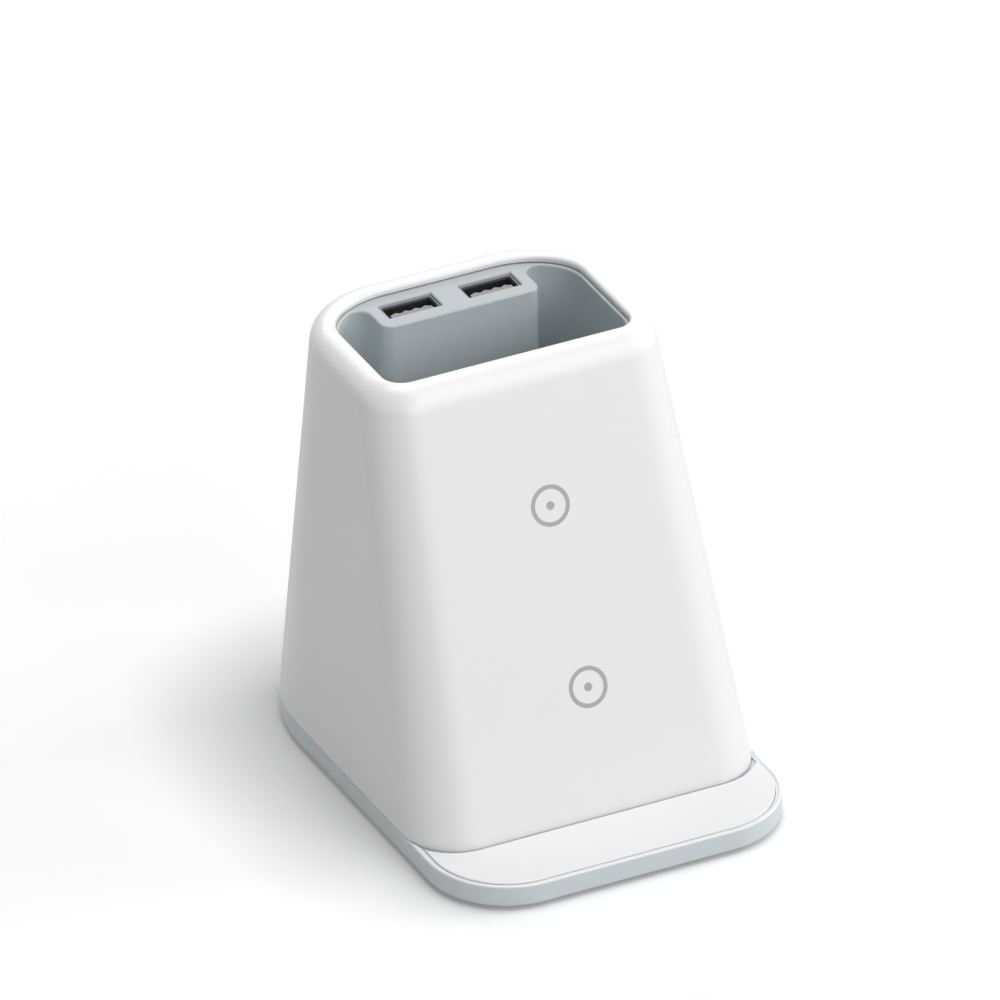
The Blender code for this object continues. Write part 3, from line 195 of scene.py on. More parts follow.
class Value:
    """A node's output that takes part in sums: each operator adds the Math node that works it out."""

    def __init__(self, graph, socket):
        self.graph, self.socket = graph, socket

    def __add__(self, other):
        return self.graph.sum_node("ADD", self, other)

    def __sub__(self, other):
        return self.graph.sum_node("SUBTRACT", self, other)

    def __rsub__(self, other):
        return self.graph.sum_node("SUBTRACT", other, self)

    def __mul__(self, other):
        return self.graph.sum_node("MULTIPLY", self, other)

    def __truediv__(self, other):
        return self.graph.sum_node("DIVIDE", self, other)

    def __rtruediv__(self, other):
        return self.graph.sum_node("DIVIDE", other, self)

    def __pow__(self, other):
        return self.graph.sum_node("POWER", self, other)

    def __gt__(self, other):
        return self.graph.sum_node("GREATER_THAN", self, other)

    def __lt__(self, other):
        return self.graph.sum_node("LESS_THAN", self, other)

    __radd__, __rmul__ = __add__, __mul__


def socket_of(sockets, key):
    """A socket by its place, its identifier or its name."""
    if isinstance(key, int):
        return sockets[key]
    return next((s for s in sockets if s.identifier == key), None) or sockets[key]


class Graph:
    """Writes the nodes of one tree."""

    def __init__(self, tree):
        self.tree = tree

    def node(self, kind, settings=None, sockets=None, out=0):
        made = self.tree.nodes.new(kind)
        for name, value in (settings or {}).items():
            setattr(made, name, value)
        for key, value in (sockets or {}).items():
            socket = socket_of(made.inputs, key)
            for one in value if isinstance(value, list) else [value]:
                if isinstance(one, Value):
                    self.tree.links.new(one.socket, socket)
                else:
                    socket.default_value = one
        return Value(self, socket_of(made.outputs, out)) if len(made.outputs) else made

    def other_output(self, value, out):
        """Another output of the node that a value comes from."""
        return Value(self, socket_of(value.socket.node.outputs, out))

    def sum_node(self, operation, *terms):
        return self.node("ShaderNodeMath", {"operation": operation}, dict(enumerate(terms)))

    def clamped(self, value, low=0.0):
        return self.sum_node("MINIMUM", self.sum_node("MAXIMUM", value, low), 1.0)

    def mix_colour(self, factor, low, high):
        sides = {"Factor_Float": factor, "A_Color": low, "B_Color": high}
        return self.node("ShaderNodeMix", {"data_type": "RGBA", "blend_type": "MIX"}, sides, "Result_Color")

    def vector_node(self, operation, *terms, out=0):
        return self.node("ShaderNodeVectorMath", {"operation": operation}, dict(enumerate(terms)), out)


def grey(value):
    return (value, value, value, 1)


class Finish(Graph):
    """A Principled material with the helpers that the finishes share."""

    def __init__(self, name, colour, roughness, metallic=0.0, coat=0.0, coat_roughness=0.1):
        self.material = bpy.data.materials.new(name)
        self.material.use_nodes = True
        super().__init__(self.material.node_tree)
        self.shader = self.tree.nodes["Principled BSDF"]
        self.colour = (*colour, 1)
        body = {"Base Color": self.colour, "Roughness": roughness, "Metallic": metallic}
        for key, value in {**body, "Coat Weight": coat, "Coat Roughness": coat_roughness}.items():
            self.shader.inputs[key].default_value = value
        self.material.diffuse_color = self.colour
        self.place = self.node("ShaderNodeTexCoord", out="Object")

    def feed(self, **values):
        """Links the values that change over the surface, and gives the finished material."""
        for key, value in values.items():
            self.tree.links.new(value.socket, self.shader.inputs[key.replace("_", " ")])
        return self.material

    def noise(self, size, detail=3.0, place=None):
        """Noise whose patches are about this many metres across."""
        sockets = {"Vector": place or self.place, "Scale": 1 / size, "Detail": detail}
        return self.node("ShaderNodeTexNoise", None, sockets, "Fac")

    def stretched(self, x, y, z):
        """Object coordinates with each axis scaled, for grain that runs one way."""
        return self.node(
            "ShaderNodeMapping", {"vector_type": "POINT"}, {"Vector": self.place, "Scale": (x, y, z)}
        )

    def cells(self, size, feature="F1", out="Distance"):
        sockets = {"Vector": self.place, "Scale": 1 / size}
        return self.node("ShaderNodeTexVoronoi", {"feature": feature}, sockets, out)

    def each_cell(self, size):
        """A number of its own for each cell."""
        return self.node("ShaderNodeSeparateColor", None, {0: self.cells(size, out="Color")}, 0)

    def tinted(self, factor, darker, lighter=1.0):
        """The finish's colour, shaded between two strengths by a factor."""
        ends = [tuple(c * s for c in self.colour[:3]) + (1,) for s in (darker, lighter)]
        return self.mix_colour(factor, *ends)

    def raised(self, height, distance):
        return self.node("ShaderNodeBump", None, {"Height": height, "Distance": distance, "Strength": 1.0})

    def axis(self, name):
        """One coordinate of the place on the object."""
        return self.node("ShaderNodeSeparateXYZ", None, {0: self.place}, name)

    def moulding(self, grain):
        """Injection-moulded plastic: its flow shading, how its gloss varies, and the tool's fine grain."""
        flow, patches, fine = self.noise(0.03, 2.0), self.noise(0.004, 4.0), self.noise(grain, 2.0)
        return self.tinted(flow, 0.985), (patches - 0.5) * 0.10 + (fine - 0.5) * 0.05, fine


def moulded(name, colour, roughness, coat, coat_roughness, grain=GRAIN, depth=GRAIN_DEPTH):
    f = Finish(name, colour, roughness, coat=coat, coat_roughness=coat_roughness)
    tint, uneven, fine = f.moulding(grain)
    gloss = f.clamped(roughness + uneven, LEAST_ROUGHNESS)
    return f.feed(Base_Color=tint, Roughness=gloss, Normal=f.raised(fine * depth, 1.0))


def tray_finish():
    """The tray's moulded grey-blue; the chamfer round its rim is glossier and painted paler as a highlight.
    """
    f = Finish("grey-blue base tray", TRAY_COLOUR, 0.40, coat=0.12, coat_roughness=0.22)
    tint, uneven, fine = f.moulding(GRAIN)
    cut = f.clamped((f.axis("Z") - BAND_TOP) / 0.00012)
    # Painted highlight: the chamfer above the band takes a paler colour
    colour = f.mix_colour(cut, tint, (*CHAMFER_PAINTED_HIGHLIGHT, 1))
    gloss = f.clamped(0.40 - cut * 0.16 + uneven, LEAST_ROUGHNESS)
    return f.feed(Base_Color=colour, Roughness=gloss, Normal=f.raised(fine * GRAIN_DEPTH, 1.0))


def liner_finish():
    """The liner's moulded grey-blue; its top faces have a coarser grain than its walls and are painted darker
    as shade.
    """
    f = Finish("grey-blue cup liner", LINER_COLOUR, 0.42, coat=0.10, coat_roughness=0.25)
    tint, uneven, fine = f.moulding(GRAIN)
    top = f.clamped((f.axis("Z") - SHELF_Z + POCKET_EDGE) / POCKET_EDGE)
    # Painted shade: the shelf and flange tops take a darker copy of the liner's colour
    shelf = tuple(c * SHELF_PAINTED_SHADE for c in LINER_COLOUR) + (1,)
    gloss = f.clamped(0.42 + top * 0.08 + uneven, LEAST_ROUGHNESS)
    bump = f.raised(fine * (top * 0.000003 + GRAIN_DEPTH), 1.0)
    return f.feed(Base_Color=f.mix_colour(top, tint, shelf), Roughness=gloss, Normal=bump)


def plated(name, colour, roughness, scratch=0.00009, stretch=(1, 1, 14)):
    """Plated metal with fine scratches that run one way."""
    f = Finish(name, colour, roughness, metallic=1.0)
    scratches = f.noise(scratch, 3.0, f.stretched(*stretch))
    worn = f.noise(0.0022, 3.0)
    gloss = f.clamped(roughness + (scratches - 0.5) * 0.22 + (worn - 0.5) * 0.18, 0.06)
    return f.feed(Base_Color=f.tinted(worn, 0.86), Roughness=gloss, Normal=f.raised(scratches, 0.0000015))


def socket_metal():
    """The socket's drawn shell: plated outside, grey at its lip, dark where no light reaches down inside."""
    f = Finish("socket shell", (0.30, 0.30, 0.31), 0.42, metallic=0.6)
    low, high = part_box("usb_shell_left")
    half_x, half_y = [(high[i] - low[i]) / 2 - 0.00015 for i in (0, 1)]
    across = f.sum_node("ABSOLUTE", f.sum_node("ABSOLUTE", f.axis("X")) - PORT_PITCH / 2)
    through = f.sum_node("ABSOLUTE", f.axis("Y") - (low.y + high.y) / 2)
    inside = (across < half_x) * (through < half_y)
    depth = f.clamped((SHELF_Z - 0.0006 - f.axis("Z")) / 0.0009)
    grain = f.noise(0.0001, 2.0, f.stretched(1, 1, 10))
    walls = f.mix_colour(inside, (0.62, 0.61, 0.60, 1), grey(0.006))
    colour = f.mix_colour(depth, f.tinted(grain, 0.8), walls)
    plating = 0.6 + depth * (0.35 - inside * 0.95)
    gloss = 0.38 + depth * (inside * 0.5 - 0.1) + grain * 0.06
    return f.feed(Base_Color=colour, Metallic=plating, Roughness=gloss)


def solder_masked():
    """Green board: lighter copper runs under the mask, with small tinned vias."""
    f = Finish("green solder mask", (0.012, 0.145, 0.062), 0.30, coat=0.35, coat_roughness=0.12)
    bent = f.noise(0.004, 1.0) * 0.0006
    lines = [f.sum_node("PINGPONG", f.axis(name) + bent, 0.00045) for name in "XY"]
    across = f.each_cell(0.0062) > 0.5
    runs = (lines[0] * across + lines[1] * (1 - across)) < 0.00014
    runs = runs * (f.noise(0.008, 1.0) > 0.47)
    via = f.cells(0.0034) < 0.085
    colour = f.mix_colour(runs, f.tinted(f.noise(0.01), 0.85), (0.030, 0.255, 0.110, 1))
    colour = f.mix_colour(via, colour, (0.68, 0.68, 0.64, 1))
    bump = f.raised(runs + via * 2, 0.00002)
    return f.feed(Base_Color=colour, Metallic=via * 0.9, Roughness=0.30 + f.noise(0.001) * 0.1, Normal=bump)


def speckled(name, colour, roughness, size, depth=0.000006, shade=0.8):
    """A matt body with a fine even speckle: rubber, epoxy, nylon, ceramic."""
    f = Finish(name, colour, roughness)
    fine, broad = f.noise(size, 2.0), f.noise(size * 14, 2.0)
    gloss = f.clamped(roughness + (fine - 0.5) * 0.16 + (broad - 0.5) * 0.12, 0.05)
    tint = f.tinted(f.clamped(fine * 0.5 + broad * 0.5), shade)
    return f.feed(Base_Color=tint, Roughness=gloss, Normal=f.raised(fine, depth))


def cracked_ferrite():
    """Sintered sheet, scored into small cells."""
    f = Finish("scored ferrite", (0.055, 0.055, 0.062), 0.46)
    edges = f.cells(0.0021, "DISTANCE_TO_EDGE") < 0.035
    each = f.each_cell(0.0021)
    colour = f.mix_colour(edges, f.tinted(each, 0.72, 1.15), grey(0.012))
    return f.feed(Base_Color=colour, Roughness=0.40 + each * 0.16, Normal=f.raised(1 - edges, 0.00001))


def stranded(name, colour, roughness, metallic, ridges, depth):
    """A strand's finish: fine ridges that wind round it, read from its own length and turn."""
    f = Finish(name, colour, roughness, metallic=metallic)
    along, around = [
        f.node("ShaderNodeAttribute", {"attribute_name": key}, out="Fac") for key in ("along", "around")
    ]
    wind = f.sum_node("SINE", (along * ridges + around * 5) * math.tau) * 0.5 + 0.5
    worn = f.noise(0.003, 2.0)
    gloss = f.clamped(roughness + (worn - 0.5) * 0.2)
    tint = f.tinted(f.clamped(wind * 0.6 + worn * 0.4), 0.62)
    return f.feed(Base_Color=tint, Roughness=gloss, Normal=f.raised(wind, depth))


def finishes():
    white, tongue, black = (0.86, 0.86, 0.86), (0.25, 0.247, 0.25), (0.018, 0.018, 0.018)
    return {
        "shell": moulded("satin white shell", white, 0.34, 0.25, 0.16),
        "plate": moulded("polished white plate", (0.79, 0.79, 0.79), 0.12, 0.6, 0.03, 0.0009, 0.000001),
        "liner": liner_finish(),
        "tray": tray_finish(),
        "tongue": moulded("grey socket tongue", tongue, 0.45, 0.0, 0.2, 0.0002),
        "insulator": speckled("black insulator", black, 0.48, 0.0002),
        "ink": speckled("grey printed ring", (0.43, 0.43, 0.43), 0.42, 0.00025, 0.000001, 0.94),
        "rubber": speckled("foot rubber", (0.035, 0.035, 0.036), 0.80, 0.00025, 0.00002, 0.7),
        "carrier": speckled("black carrier", (0.040, 0.041, 0.045), 0.55, 0.0004, 0.00001, 0.82),
        "epoxy": speckled("chip epoxy", (0.026, 0.026, 0.028), 0.50, 0.00012, 0.000004, 0.7),
        "inductor": speckled("pressed inductor", (0.070, 0.070, 0.074), 0.62, 0.00022, 0.00001, 0.6),
        "ceramic": speckled("capacitor ceramic", (0.50, 0.34, 0.18), 0.38, 0.00015, 0.000003, 0.85),
        "nylon": speckled("cream nylon", (0.76, 0.72, 0.60), 0.42, 0.0004, 0.000004, 0.93),
        "steel": plated("zinc-plated steel", (0.60, 0.61, 0.62), 0.30),
        "nickel": plated("nickel plate", (0.64, 0.63, 0.61), 0.24),
        "tin": plated("tinned pad", (0.70, 0.70, 0.68), 0.34),
        "gold": plated("contact gold", (0.86, 0.62, 0.25), 0.26, 0.00006),
        "can": plated("aluminium can", (0.72, 0.73, 0.74), 0.28, 0.00008, (9, 9, 1)),
        "socket": socket_metal(),
        "board": solder_masked(),
        "ferrite": cracked_ferrite(),
        "copper": stranded("enamelled copper", (0.74, 0.30, 0.11), 0.26, 1.0, 900, 0.00002),
        "sheath": stranded("black lead sheath", (0.030, 0.030, 0.032), 0.48, 0.0, 260, 0.000004),
    }


FINISH = finishes()


# Outlines


def grown(outline, by):
    """The same outline with every side moved out by a length; a negative one moves it in."""
    return Outline(
        outline.half_width + by,
        outline.front - by,
        outline.back + by,
        max(outline.front_radius + by, LEAST_CORNER),
        max(outline.reach_x + by, LEAST_CORNER),
        max(outline.reach_y + by, LEAST_CORNER),
    )


def mixed(low, high, share):
    return Outline(*[a + (b - a) * share for a, b in zip(low, high)])


def box_outline(length, width, corner, centre_y=0.0):
    return Outline(length / 2, centre_y - width / 2, centre_y + width / 2, corner, corner, corner)


def quarter_round(steps=SMALL_CORNER_STEPS):
    """A rounded edge of radius 1: how far each point has run in from one side, and has to go to the other."""
    return [(1 - math.cos(a), 1 - math.sin(a)) for a in np.linspace(0, math.pi / 2, steps + 1)]


def tower_outline(z):
    return mixed(TOWER_FOOT, TOWER_CROWN, (z - PLATE_TOP) / TOWER_RISE)


def arc(centre_x, centre_y, reach_x, reach_y, start, end, steps):
    angles = np.radians(np.linspace(start, end, steps + 1))
    return [(centre_x + reach_x * math.cos(a), centre_y + reach_y * math.sin(a)) for a in angles]


def chained(arcs):
    """Joins arcs into a closed outline, with a point just past each end so that the straights shade flat."""
    points = []
    for this, following in zip(arcs, arcs[1:] + arcs[:1]):
        start, end = np.array(this[-1]), np.array(following[0])
        share = min(STRAIGHT_LEAD / max(np.linalg.norm(end - start), 1e-9), 0.33)
        points += this + [tuple(start + (end - start) * share), tuple(end + (start - end) * share)]
    return points


def outline_points(o, steps=CORNER_STEPS):
    """Anticlockwise from above, from the middle of the front's right corner round to its left one."""
    side_x, back_y = o.half_width - o.reach_x, o.back - o.reach_y
    corner_x, corner_y = o.half_width - o.front_radius, o.front + o.front_radius
    return chained(
        [
            arc(corner_x, corner_y, o.front_radius, o.front_radius, -90, 0, steps),
            arc(side_x, back_y, o.reach_x, o.reach_y, 0, 90, steps),
            arc(-side_x, back_y, o.reach_x, o.reach_y, 90, 180, steps),
            arc(-corner_x, corner_y, o.front_radius, o.front_radius, 180, 270, steps),
        ]
    )


def pocket_points(shrink):
    """The cup's inner outline: the mouth's shape with the port shelf standing into it from the back."""
    o = grown(POCKET, -shrink)
    shelf_half, shelf_front = SHELF_HALF + shrink, SHELF_FRONT - shrink
    corner = SHELF_CORNER + shrink
    hollow = max(min(SHELF_HOLLOW - shrink, 0.45 * (o.half_width - shelf_half)), LEAST_CORNER)
    side_x, back_y = o.half_width - o.reach_x, o.back - o.reach_y
    turn = math.degrees(math.acos((shelf_half + hollow - side_x) / (o.reach_x - hollow)))
    hollow_y = back_y + (o.reach_y - hollow) * math.sin(math.radians(turn))
    corner_x, corner_y = o.half_width - o.front_radius, o.front + o.front_radius
    right = [
        arc(corner_x, corner_y, o.front_radius, o.front_radius, -90, 0, CORNER_STEPS),
        arc(side_x, back_y, o.reach_x, o.reach_y, 0, turn, CORNER_STEPS)
        + arc(shelf_half + hollow, hollow_y, hollow, hollow, turn, 180, CORNER_STEPS)[1:],
        arc(shelf_half - corner, shelf_front + corner, corner, corner, 0, -90, SMALL_CORNER_STEPS + 4),
    ]
    return chained(right + [[(-x, y) for x, y in reversed(part)] for part in reversed(right)])


def circle_points(radius, sides, x, y):
    angles = np.linspace(0, math.tau, sides, endpoint=False)
    return [(x + radius * math.cos(a), y + radius * math.sin(a)) for a in angles]


def at_height(points, z):
    return [(x, y, z) for x, y in points]


def face_point(x, up, inward):
    """The place of a point given across, up along and in behind the leaning face."""
    lean_up, lean_in = math.sin(FACE_LEAN), math.cos(FACE_LEAN)
    return (
        x,
        TOWER_FOOT.front + up * lean_up + inward * lean_in,
        PLATE_TOP + up * lean_in - inward * lean_up,
    )


# Meshes


def link(name, mesh):
    made = bpy.data.objects.new(name, mesh)
    bpy.context.scene.collection.objects.link(made)
    return made


def lofted(name, rings, tube=False):
    """Joins rings of equal length; a tube also joins the last ring to the first and has no caps."""
    count, last = len(rings[0]), len(rings) - 1
    faces = []
    for ring in range(last + tube):
        low, high = ring * count, (ring + 1) % len(rings) * count
        faces += [(low + i, low + (i + 1) % count, high + (i + 1) % count, high + i) for i in range(count)]
    if not tube:
        faces += [tuple(range(count)), tuple(range(last * count, (last + 1) * count))]
    mesh = bpy.data.meshes.new(name)
    mesh.from_pydata([point for ring in rings for point in ring], [], faces)
    outward(mesh)
    return link(name, mesh)


def outward(mesh):
    bm = bmesh.new()
    bm.from_mesh(mesh)
    bmesh.ops.remove_doubles(bm, verts=bm.verts, dist=1e-7)
    bmesh.ops.recalc_face_normals(bm, faces=bm.faces)
    bm.to_mesh(mesh)
    bm.free()


def stacked(name, rings, tube=False):
    """Outlines joined from height to height."""
    return lofted(name, [at_height(outline_points(outline), z) for outline, z in rings], tube)


def rounded(name, low, high, rings):
    """A box with rounded corners; a ring says how far it is grown, its corner's radius and its height."""
    length, width = high[0] - low[0], high[1] - low[1]
    x, y = (low[0] + high[0]) / 2, (low[1] + high[1]) / 2
    loops = []
    for by, corner, z in rings:
        outline = box_outline(length + 2 * by, width + 2 * by, corner, y)
        loops.append([(x + px, py, z) for px, py in outline_points(outline, SMALL_CORNER_STEPS)])
    return lofted(name, loops)


def slab(name, outline, low, high):
    return stacked(name, [(outline, low), (outline, high)])


def rod(name, radius, low, high, x, y, sides=FINE_SIDES):
    return lathed(name, [(radius, low), (radius, high)], x, y, sides)


def lathed(name, profile, x=0.0, y=0.0, sides=FINE_SIDES, tube=False):
    return lofted(name, [at_height(circle_points(radius, sides, x, y), z) for radius, z in profile], tube)


def block(name, low, high):
    (x0, y0, z0), (x1, y1, z1) = low, high
    sides = [(x0, y0), (x1, y0), (x1, y1), (x0, y1)]
    return lofted(name, [at_height(sides, z0), at_height(sides, z1)])


def behind_face(name, points, near, far):
    """A prism behind the leaning face: its points are across and up."""
    return lofted(name, [[face_point(x, up, depth) for x, up in points] for depth in (near, far)])


def settled(made):
    """The object with its modifiers applied."""
    graph = bpy.context.evaluated_depsgraph_get()
    live = made.evaluated_get(graph)
    mesh = bpy.data.meshes.new_from_object(live, preserve_all_data_layers=True, depsgraph=graph)
    made.modifiers.clear()
    made.data = mesh
    return made


def together(name, parts):
    """Several separate shapes as one, so that one Boolean takes them all."""
    bm = bmesh.new()
    for part in parts:
        bm.from_mesh(part.data)
        bpy.data.objects.remove(part)
    mesh = bpy.data.meshes.new(name)
    bm.to_mesh(mesh)
    bm.free()
    return link(name, mesh)


def carved(body, steps):
    """Adds or cuts each group of shapes in turn."""
    tools = []
    for i, (operation, parts) in enumerate(steps):
        tool = together(f"{body.name}_tool_{i}", parts)
        modifier = body.modifiers.new(tool.name, "BOOLEAN")
        modifier.operation, modifier.solver, modifier.object = operation, "EXACT", tool
        tools.append(tool)
    settled(body)
    for tool in tools:
        bpy.data.objects.remove(tool)
    return body


def crisp(mesh, degrees):
    """Smooth faces, with sharp edges where they meet at more than an angle."""
    mesh.shade_smooth()
    mesh.set_sharp_from_angle(angle=math.radians(degrees))


def smoothed(made):
    """Smooth faces, sharp edges by angle and normals that follow the larger faces."""
    crisp(made.data, EDGE_ANGLE)
    modifier = made.modifiers.new("even normals", "WEIGHTED_NORMAL")
    modifier.keep_sharp = True
    modifier.weight = 60
    return settled(made)


def dressed(made, finish, slot, *nodes):
    """Gives a finished piece its finish and puts it in the place of its CAD nodes; its slot is not used."""
    if finish:
        made.data.materials.clear()
        made.data.materials.append(FINISH[finish])
    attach(made, "root")
    if nodes:
        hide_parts(*nodes)


def solid_box(node):
    """A solid's low corner, high corner and middle."""
    low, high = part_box(node)
    return low, high, Place(*[(a + b) / 2 for a, b in zip(low, high)])


def corners(x, front, back):
    return [(sign * x, y) for y in (front, back) for sign in (-1, 1)]


SHELL_BOSSES = corners(0.03314, TOWER_FOOT.front + 0.0136, TOWER_FOOT.back - 0.02291)
POSTS = corners(0.02784, MOUTH.front + 0.0035, MOUTH.front + 0.0215)
STANDOFFS = corners(0.02104, -0.001094, 0.04839)
FEET = corners(FOOT_X, FOOT_FRONT, FOOT_BACK)
TABS = corners(TAB_X, *TAB_UPS)


# Rules that repeat or follow a path


class Rule(Graph):
    """A geometry tree with a named input for each size; it ends in Realize Instances and Set Material."""

    def __init__(self, name, **sizes):
        super().__init__(bpy.data.node_groups.new(name, "GeometryNodeTree"))
        self.inputs = {
            "Base": self.entrance("Base", "Geometry"),
            "Finish": self.entrance("Finish", "Material"),
        }
        for key, value in sizes.items():
            kind = {int: "Int", float: "Float", tuple: "Vector"}[type(value)]
            self.inputs[key] = self.entrance(key.replace("_", " ").title(), kind, value)
        self.tree.interface.new_socket("Piece", in_out="OUTPUT", socket_type="NodeSocketGeometry")
        self.entry = self.tree.nodes.new("NodeGroupInput")

    def entrance(self, label, kind, value=None):
        """The identifier of a new input of the tree."""
        made = self.tree.interface.new_socket(label, in_out="INPUT", socket_type=f"NodeSocket{kind}")
        if value is not None:
            made.default_value = value
        return made.identifier

    def size(self, key):
        return Value(self, socket_of(self.entry.outputs, self.inputs[key]))

    def vector(self, x=0.0, y=0.0, z=0.0):
        return self.node("ShaderNodeCombineXYZ", None, {0: x, 1: y, 2: z})

    def moved(self, shape, place, turn=ORIGIN):
        sockets = {"Geometry": shape, "Translation": place, "Rotation": turn}
        return self.node("GeometryNodeTransform", None, sockets)

    def swept(self, path, profile):
        return self.node(
            "GeometryNodeCurveToMesh", None, {"Curve": path, "Profile Curve": profile, "Fill Caps": True}
        )

    def row(self, y=0.0, z=0.0):
        """Points in a line at the rule's pitch, as many as its count, with the line's middle at X = 0."""
        count, pitch = self.size("count"), self.size("pitch")
        start = self.vector((count - 1) * pitch * -0.5, y, z)
        sockets = {"Count": count, "Start Location": start, "Offset": self.vector(x=pitch)}
        return self.node("GeometryNodeMeshLine", None, sockets)

    def repeated(self, points, shape, turn=ORIGIN):
        sockets = {"Points": points, "Instance": shape, "Rotation": turn}
        return self.node("GeometryNodeInstanceOnPoints", None, sockets)

    def marked(self, shape, name, value):
        """Keeps a number of each point, which the finish reads."""
        sockets = {"Geometry": shape, "Name": name, "Value": value}
        return self.node(
            "GeometryNodeStoreNamedAttribute", {"data_type": "FLOAT", "domain": "POINT"}, sockets
        )

    def joined(self, *shapes):
        return self.node("GeometryNodeJoinGeometry", None, {0: list(shapes)})

    def cut(self, operation, *shapes):
        first = {"Mesh 1": shapes[0]} if operation == CUT else {}
        sockets = {**first, "Mesh 2": list(shapes[len(first) :])}
        return self.node("GeometryNodeMeshBoolean", {"operation": operation}, sockets)

    def ends(self, shape):
        real = self.node("GeometryNodeRealizeInstances", None, {0: shape})
        painted = self.node("GeometryNodeSetMaterial", None, {0: real, "Material": self.size("Finish")})
        self.node("NodeGroupOutput", None, {0: painted})
        return self

    def make(self, name, finish, base=None, **sizes):
        """One plain mesh by this rule, from a base mesh where the rule has one."""
        made = link(name, line_mesh(name, [ORIGIN]) if base is None else base)
        modifier = made.modifiers.new(name, "NODES")
        modifier.node_group = self.tree
        modifier[self.inputs["Finish"]] = FINISH[finish]
        for key, value in sizes.items():
            modifier[self.inputs[key]] = value
        return settled(made)


def winding_rule():
    """A strand, or several laid round each other, swept along the base's line of points."""
    rule = Rule("winding", radius=0.00035, lay_radius=0.0, turns_per_metre=0.0, strands=1, sides=16)
    path = rule.node("GeometryNodeMeshToCurve", None, {0: rule.size("Base")})
    sockets = {"Geometry": path, "Amount": rule.size("strands")}
    copies = rule.node("GeometryNodeDuplicateElements", {"domain": "SPLINE"}, sockets)
    index = rule.other_output(copies, "Duplicate Index")
    length = rule.node("GeometryNodeSplineParameter", out="Length")
    turn = (length * rule.size("turns_per_metre") + index / rule.size("strands")) * math.tau
    normal = rule.node("GeometryNodeInputNormal")
    side = rule.vector_node("CROSS_PRODUCT", rule.node("GeometryNodeInputTangent"), normal)
    sways = [
        rule.vector_node("MULTIPLY", way, rule.sum_node(wave, turn) * rule.size("lay_radius"))
        for way, wave in ((normal, "COSINE"), (side, "SINE"))
    ]
    sockets = {"Geometry": copies, "Offset": rule.vector_node("ADD", *sways)}
    strand = rule.marked(rule.node("GeometryNodeSetPosition", None, sockets), "along", length)
    sockets = {"Resolution": rule.size("sides"), "Radius": rule.size("radius")}
    ring = rule.node("GeometryNodeCurvePrimitiveCircle", None, sockets)
    ring = rule.marked(ring, "around", rule.node("GeometryNodeSplineParameter", out="Factor"))
    return rule.ends(rule.node("GeometryNodeSetShadeSmooth", None, {0: rule.swept(strand, ring)}))


def screw_rule():
    """A pan-head screw with a cross recess and a rolled thread: its seat at the origin, its shank up."""
    sizes = {
        "radius": 0.0013,
        "head_radius": 0.0027,
        "head_height": 0.0016,
        "length": 0.0098,
        "recess": 0.0007,
    }
    rule = Rule("pan_head_screw", pitch=0.0011, **sizes)
    radius, head, height, length, wide = (rule.size(key) for key in sizes)
    core_radius, crest, dome_radius, arm = radius * 0.80, radius * 0.84, head * 1.7, head * 1.25
    flat = rule.node("GeometryNodeMeshCylinder", None, {"Vertices": 40, "Radius": head, "Depth": height})
    flat = rule.moved(flat, rule.vector(z=height * -0.5))
    dome = rule.node("GeometryNodeMeshUVSphere", None, {"Segments": 48, "Rings": 40, "Radius": dome_radius})
    dome = rule.moved(dome, rule.vector(z=dome_radius - height))
    arms = []
    for x, y in ((arm, wide), (wide, arm)):
        bar = rule.node("GeometryNodeMeshCube", None, {"Size": rule.vector(x, y, height * 1.24)})
        arms.append(rule.moved(bar, rule.vector(z=height * -1.0)))
    cap = rule.cut(CUT, rule.cut(KEEP, flat, dome), *arms)
    core = rule.node(
        "GeometryNodeMeshCylinder", None, {"Vertices": 24, "Radius": core_radius, "Depth": length}
    )
    core = rule.moved(core, rule.vector(z=length * 0.5 - radius))
    tip = rule.node(
        "GeometryNodeMeshCone", None, {"Vertices": 24, "Radius Bottom": core_radius, "Depth": radius}
    )
    tip = rule.moved(tip, rule.vector(z=length - radius * 1.02))
    run = length - radius * 1.5
    helix = {"Rotations": run / rule.size("pitch"), "Start Radius": crest, "End Radius": crest, "Height": run}
    helix = rule.node("GeometryNodeCurveSpiral", None, {"Resolution": 18, **helix})
    ridge = rule.node("GeometryNodeCurvePrimitiveCircle", None, {"Resolution": 4, "Radius": radius * 0.155})
    thread = rule.moved(rule.swept(helix, ridge), rule.vector(z=radius * 0.2))
    return rule.ends(rule.joined(cap, core, tip, thread))


def corners_rule():
    """The base piece at the four corners of a rectangle, which may stand tilted."""
    rule = Rule("at_four_corners", across=0.06, along=0.09, middle=ORIGIN, tilt=ORIGIN, turn=ORIGIN)
    sockets = {"Size X": rule.size("across"), "Size Y": rule.size("along"), "Vertices X": 2, "Vertices Y": 2}
    placed = rule.moved(
        rule.node("GeometryNodeMeshGrid", None, sockets), rule.size("middle"), rule.size("tilt")
    )
    return rule.ends(rule.repeated(placed, rule.size("Base"), rule.size("turn")))


def contacts_rule():
    """A row of sprung contacts: flat strips that bow outwards between their two ends."""
    sizes = {"width": 0.0010, "thickness": 0.0002, "length": 0.0070, "bow": 0.0002}
    rule = Rule("contact_row", count=4, pitch=CONTACT_PITCH, place=ORIGIN, **sizes)
    width, thickness, length, bow = (rule.size(key) for key in sizes)
    line = rule.node("GeometryNodeCurvePrimitiveLine", None, {"Start": ORIGIN, "End": rule.vector(z=length)})
    line = rule.node("GeometryNodeResampleCurve", None, {"Curve": line, "Count": 15})
    share = rule.node("GeometryNodeSplineParameter", out="Factor")
    bent = rule.vector(y=rule.sum_node("SINE", share**2 * math.pi) * bow)
    line = rule.node("GeometryNodeSetPosition", None, {"Geometry": line, "Offset": bent})
    section = rule.node(
        "GeometryNodeCurvePrimitiveQuadrilateral", None, {"Width": thickness, "Height": width}
    )
    return rule.ends(rule.repeated(rule.moved(rule.row(), rule.size("place")), rule.swept(line, section)))


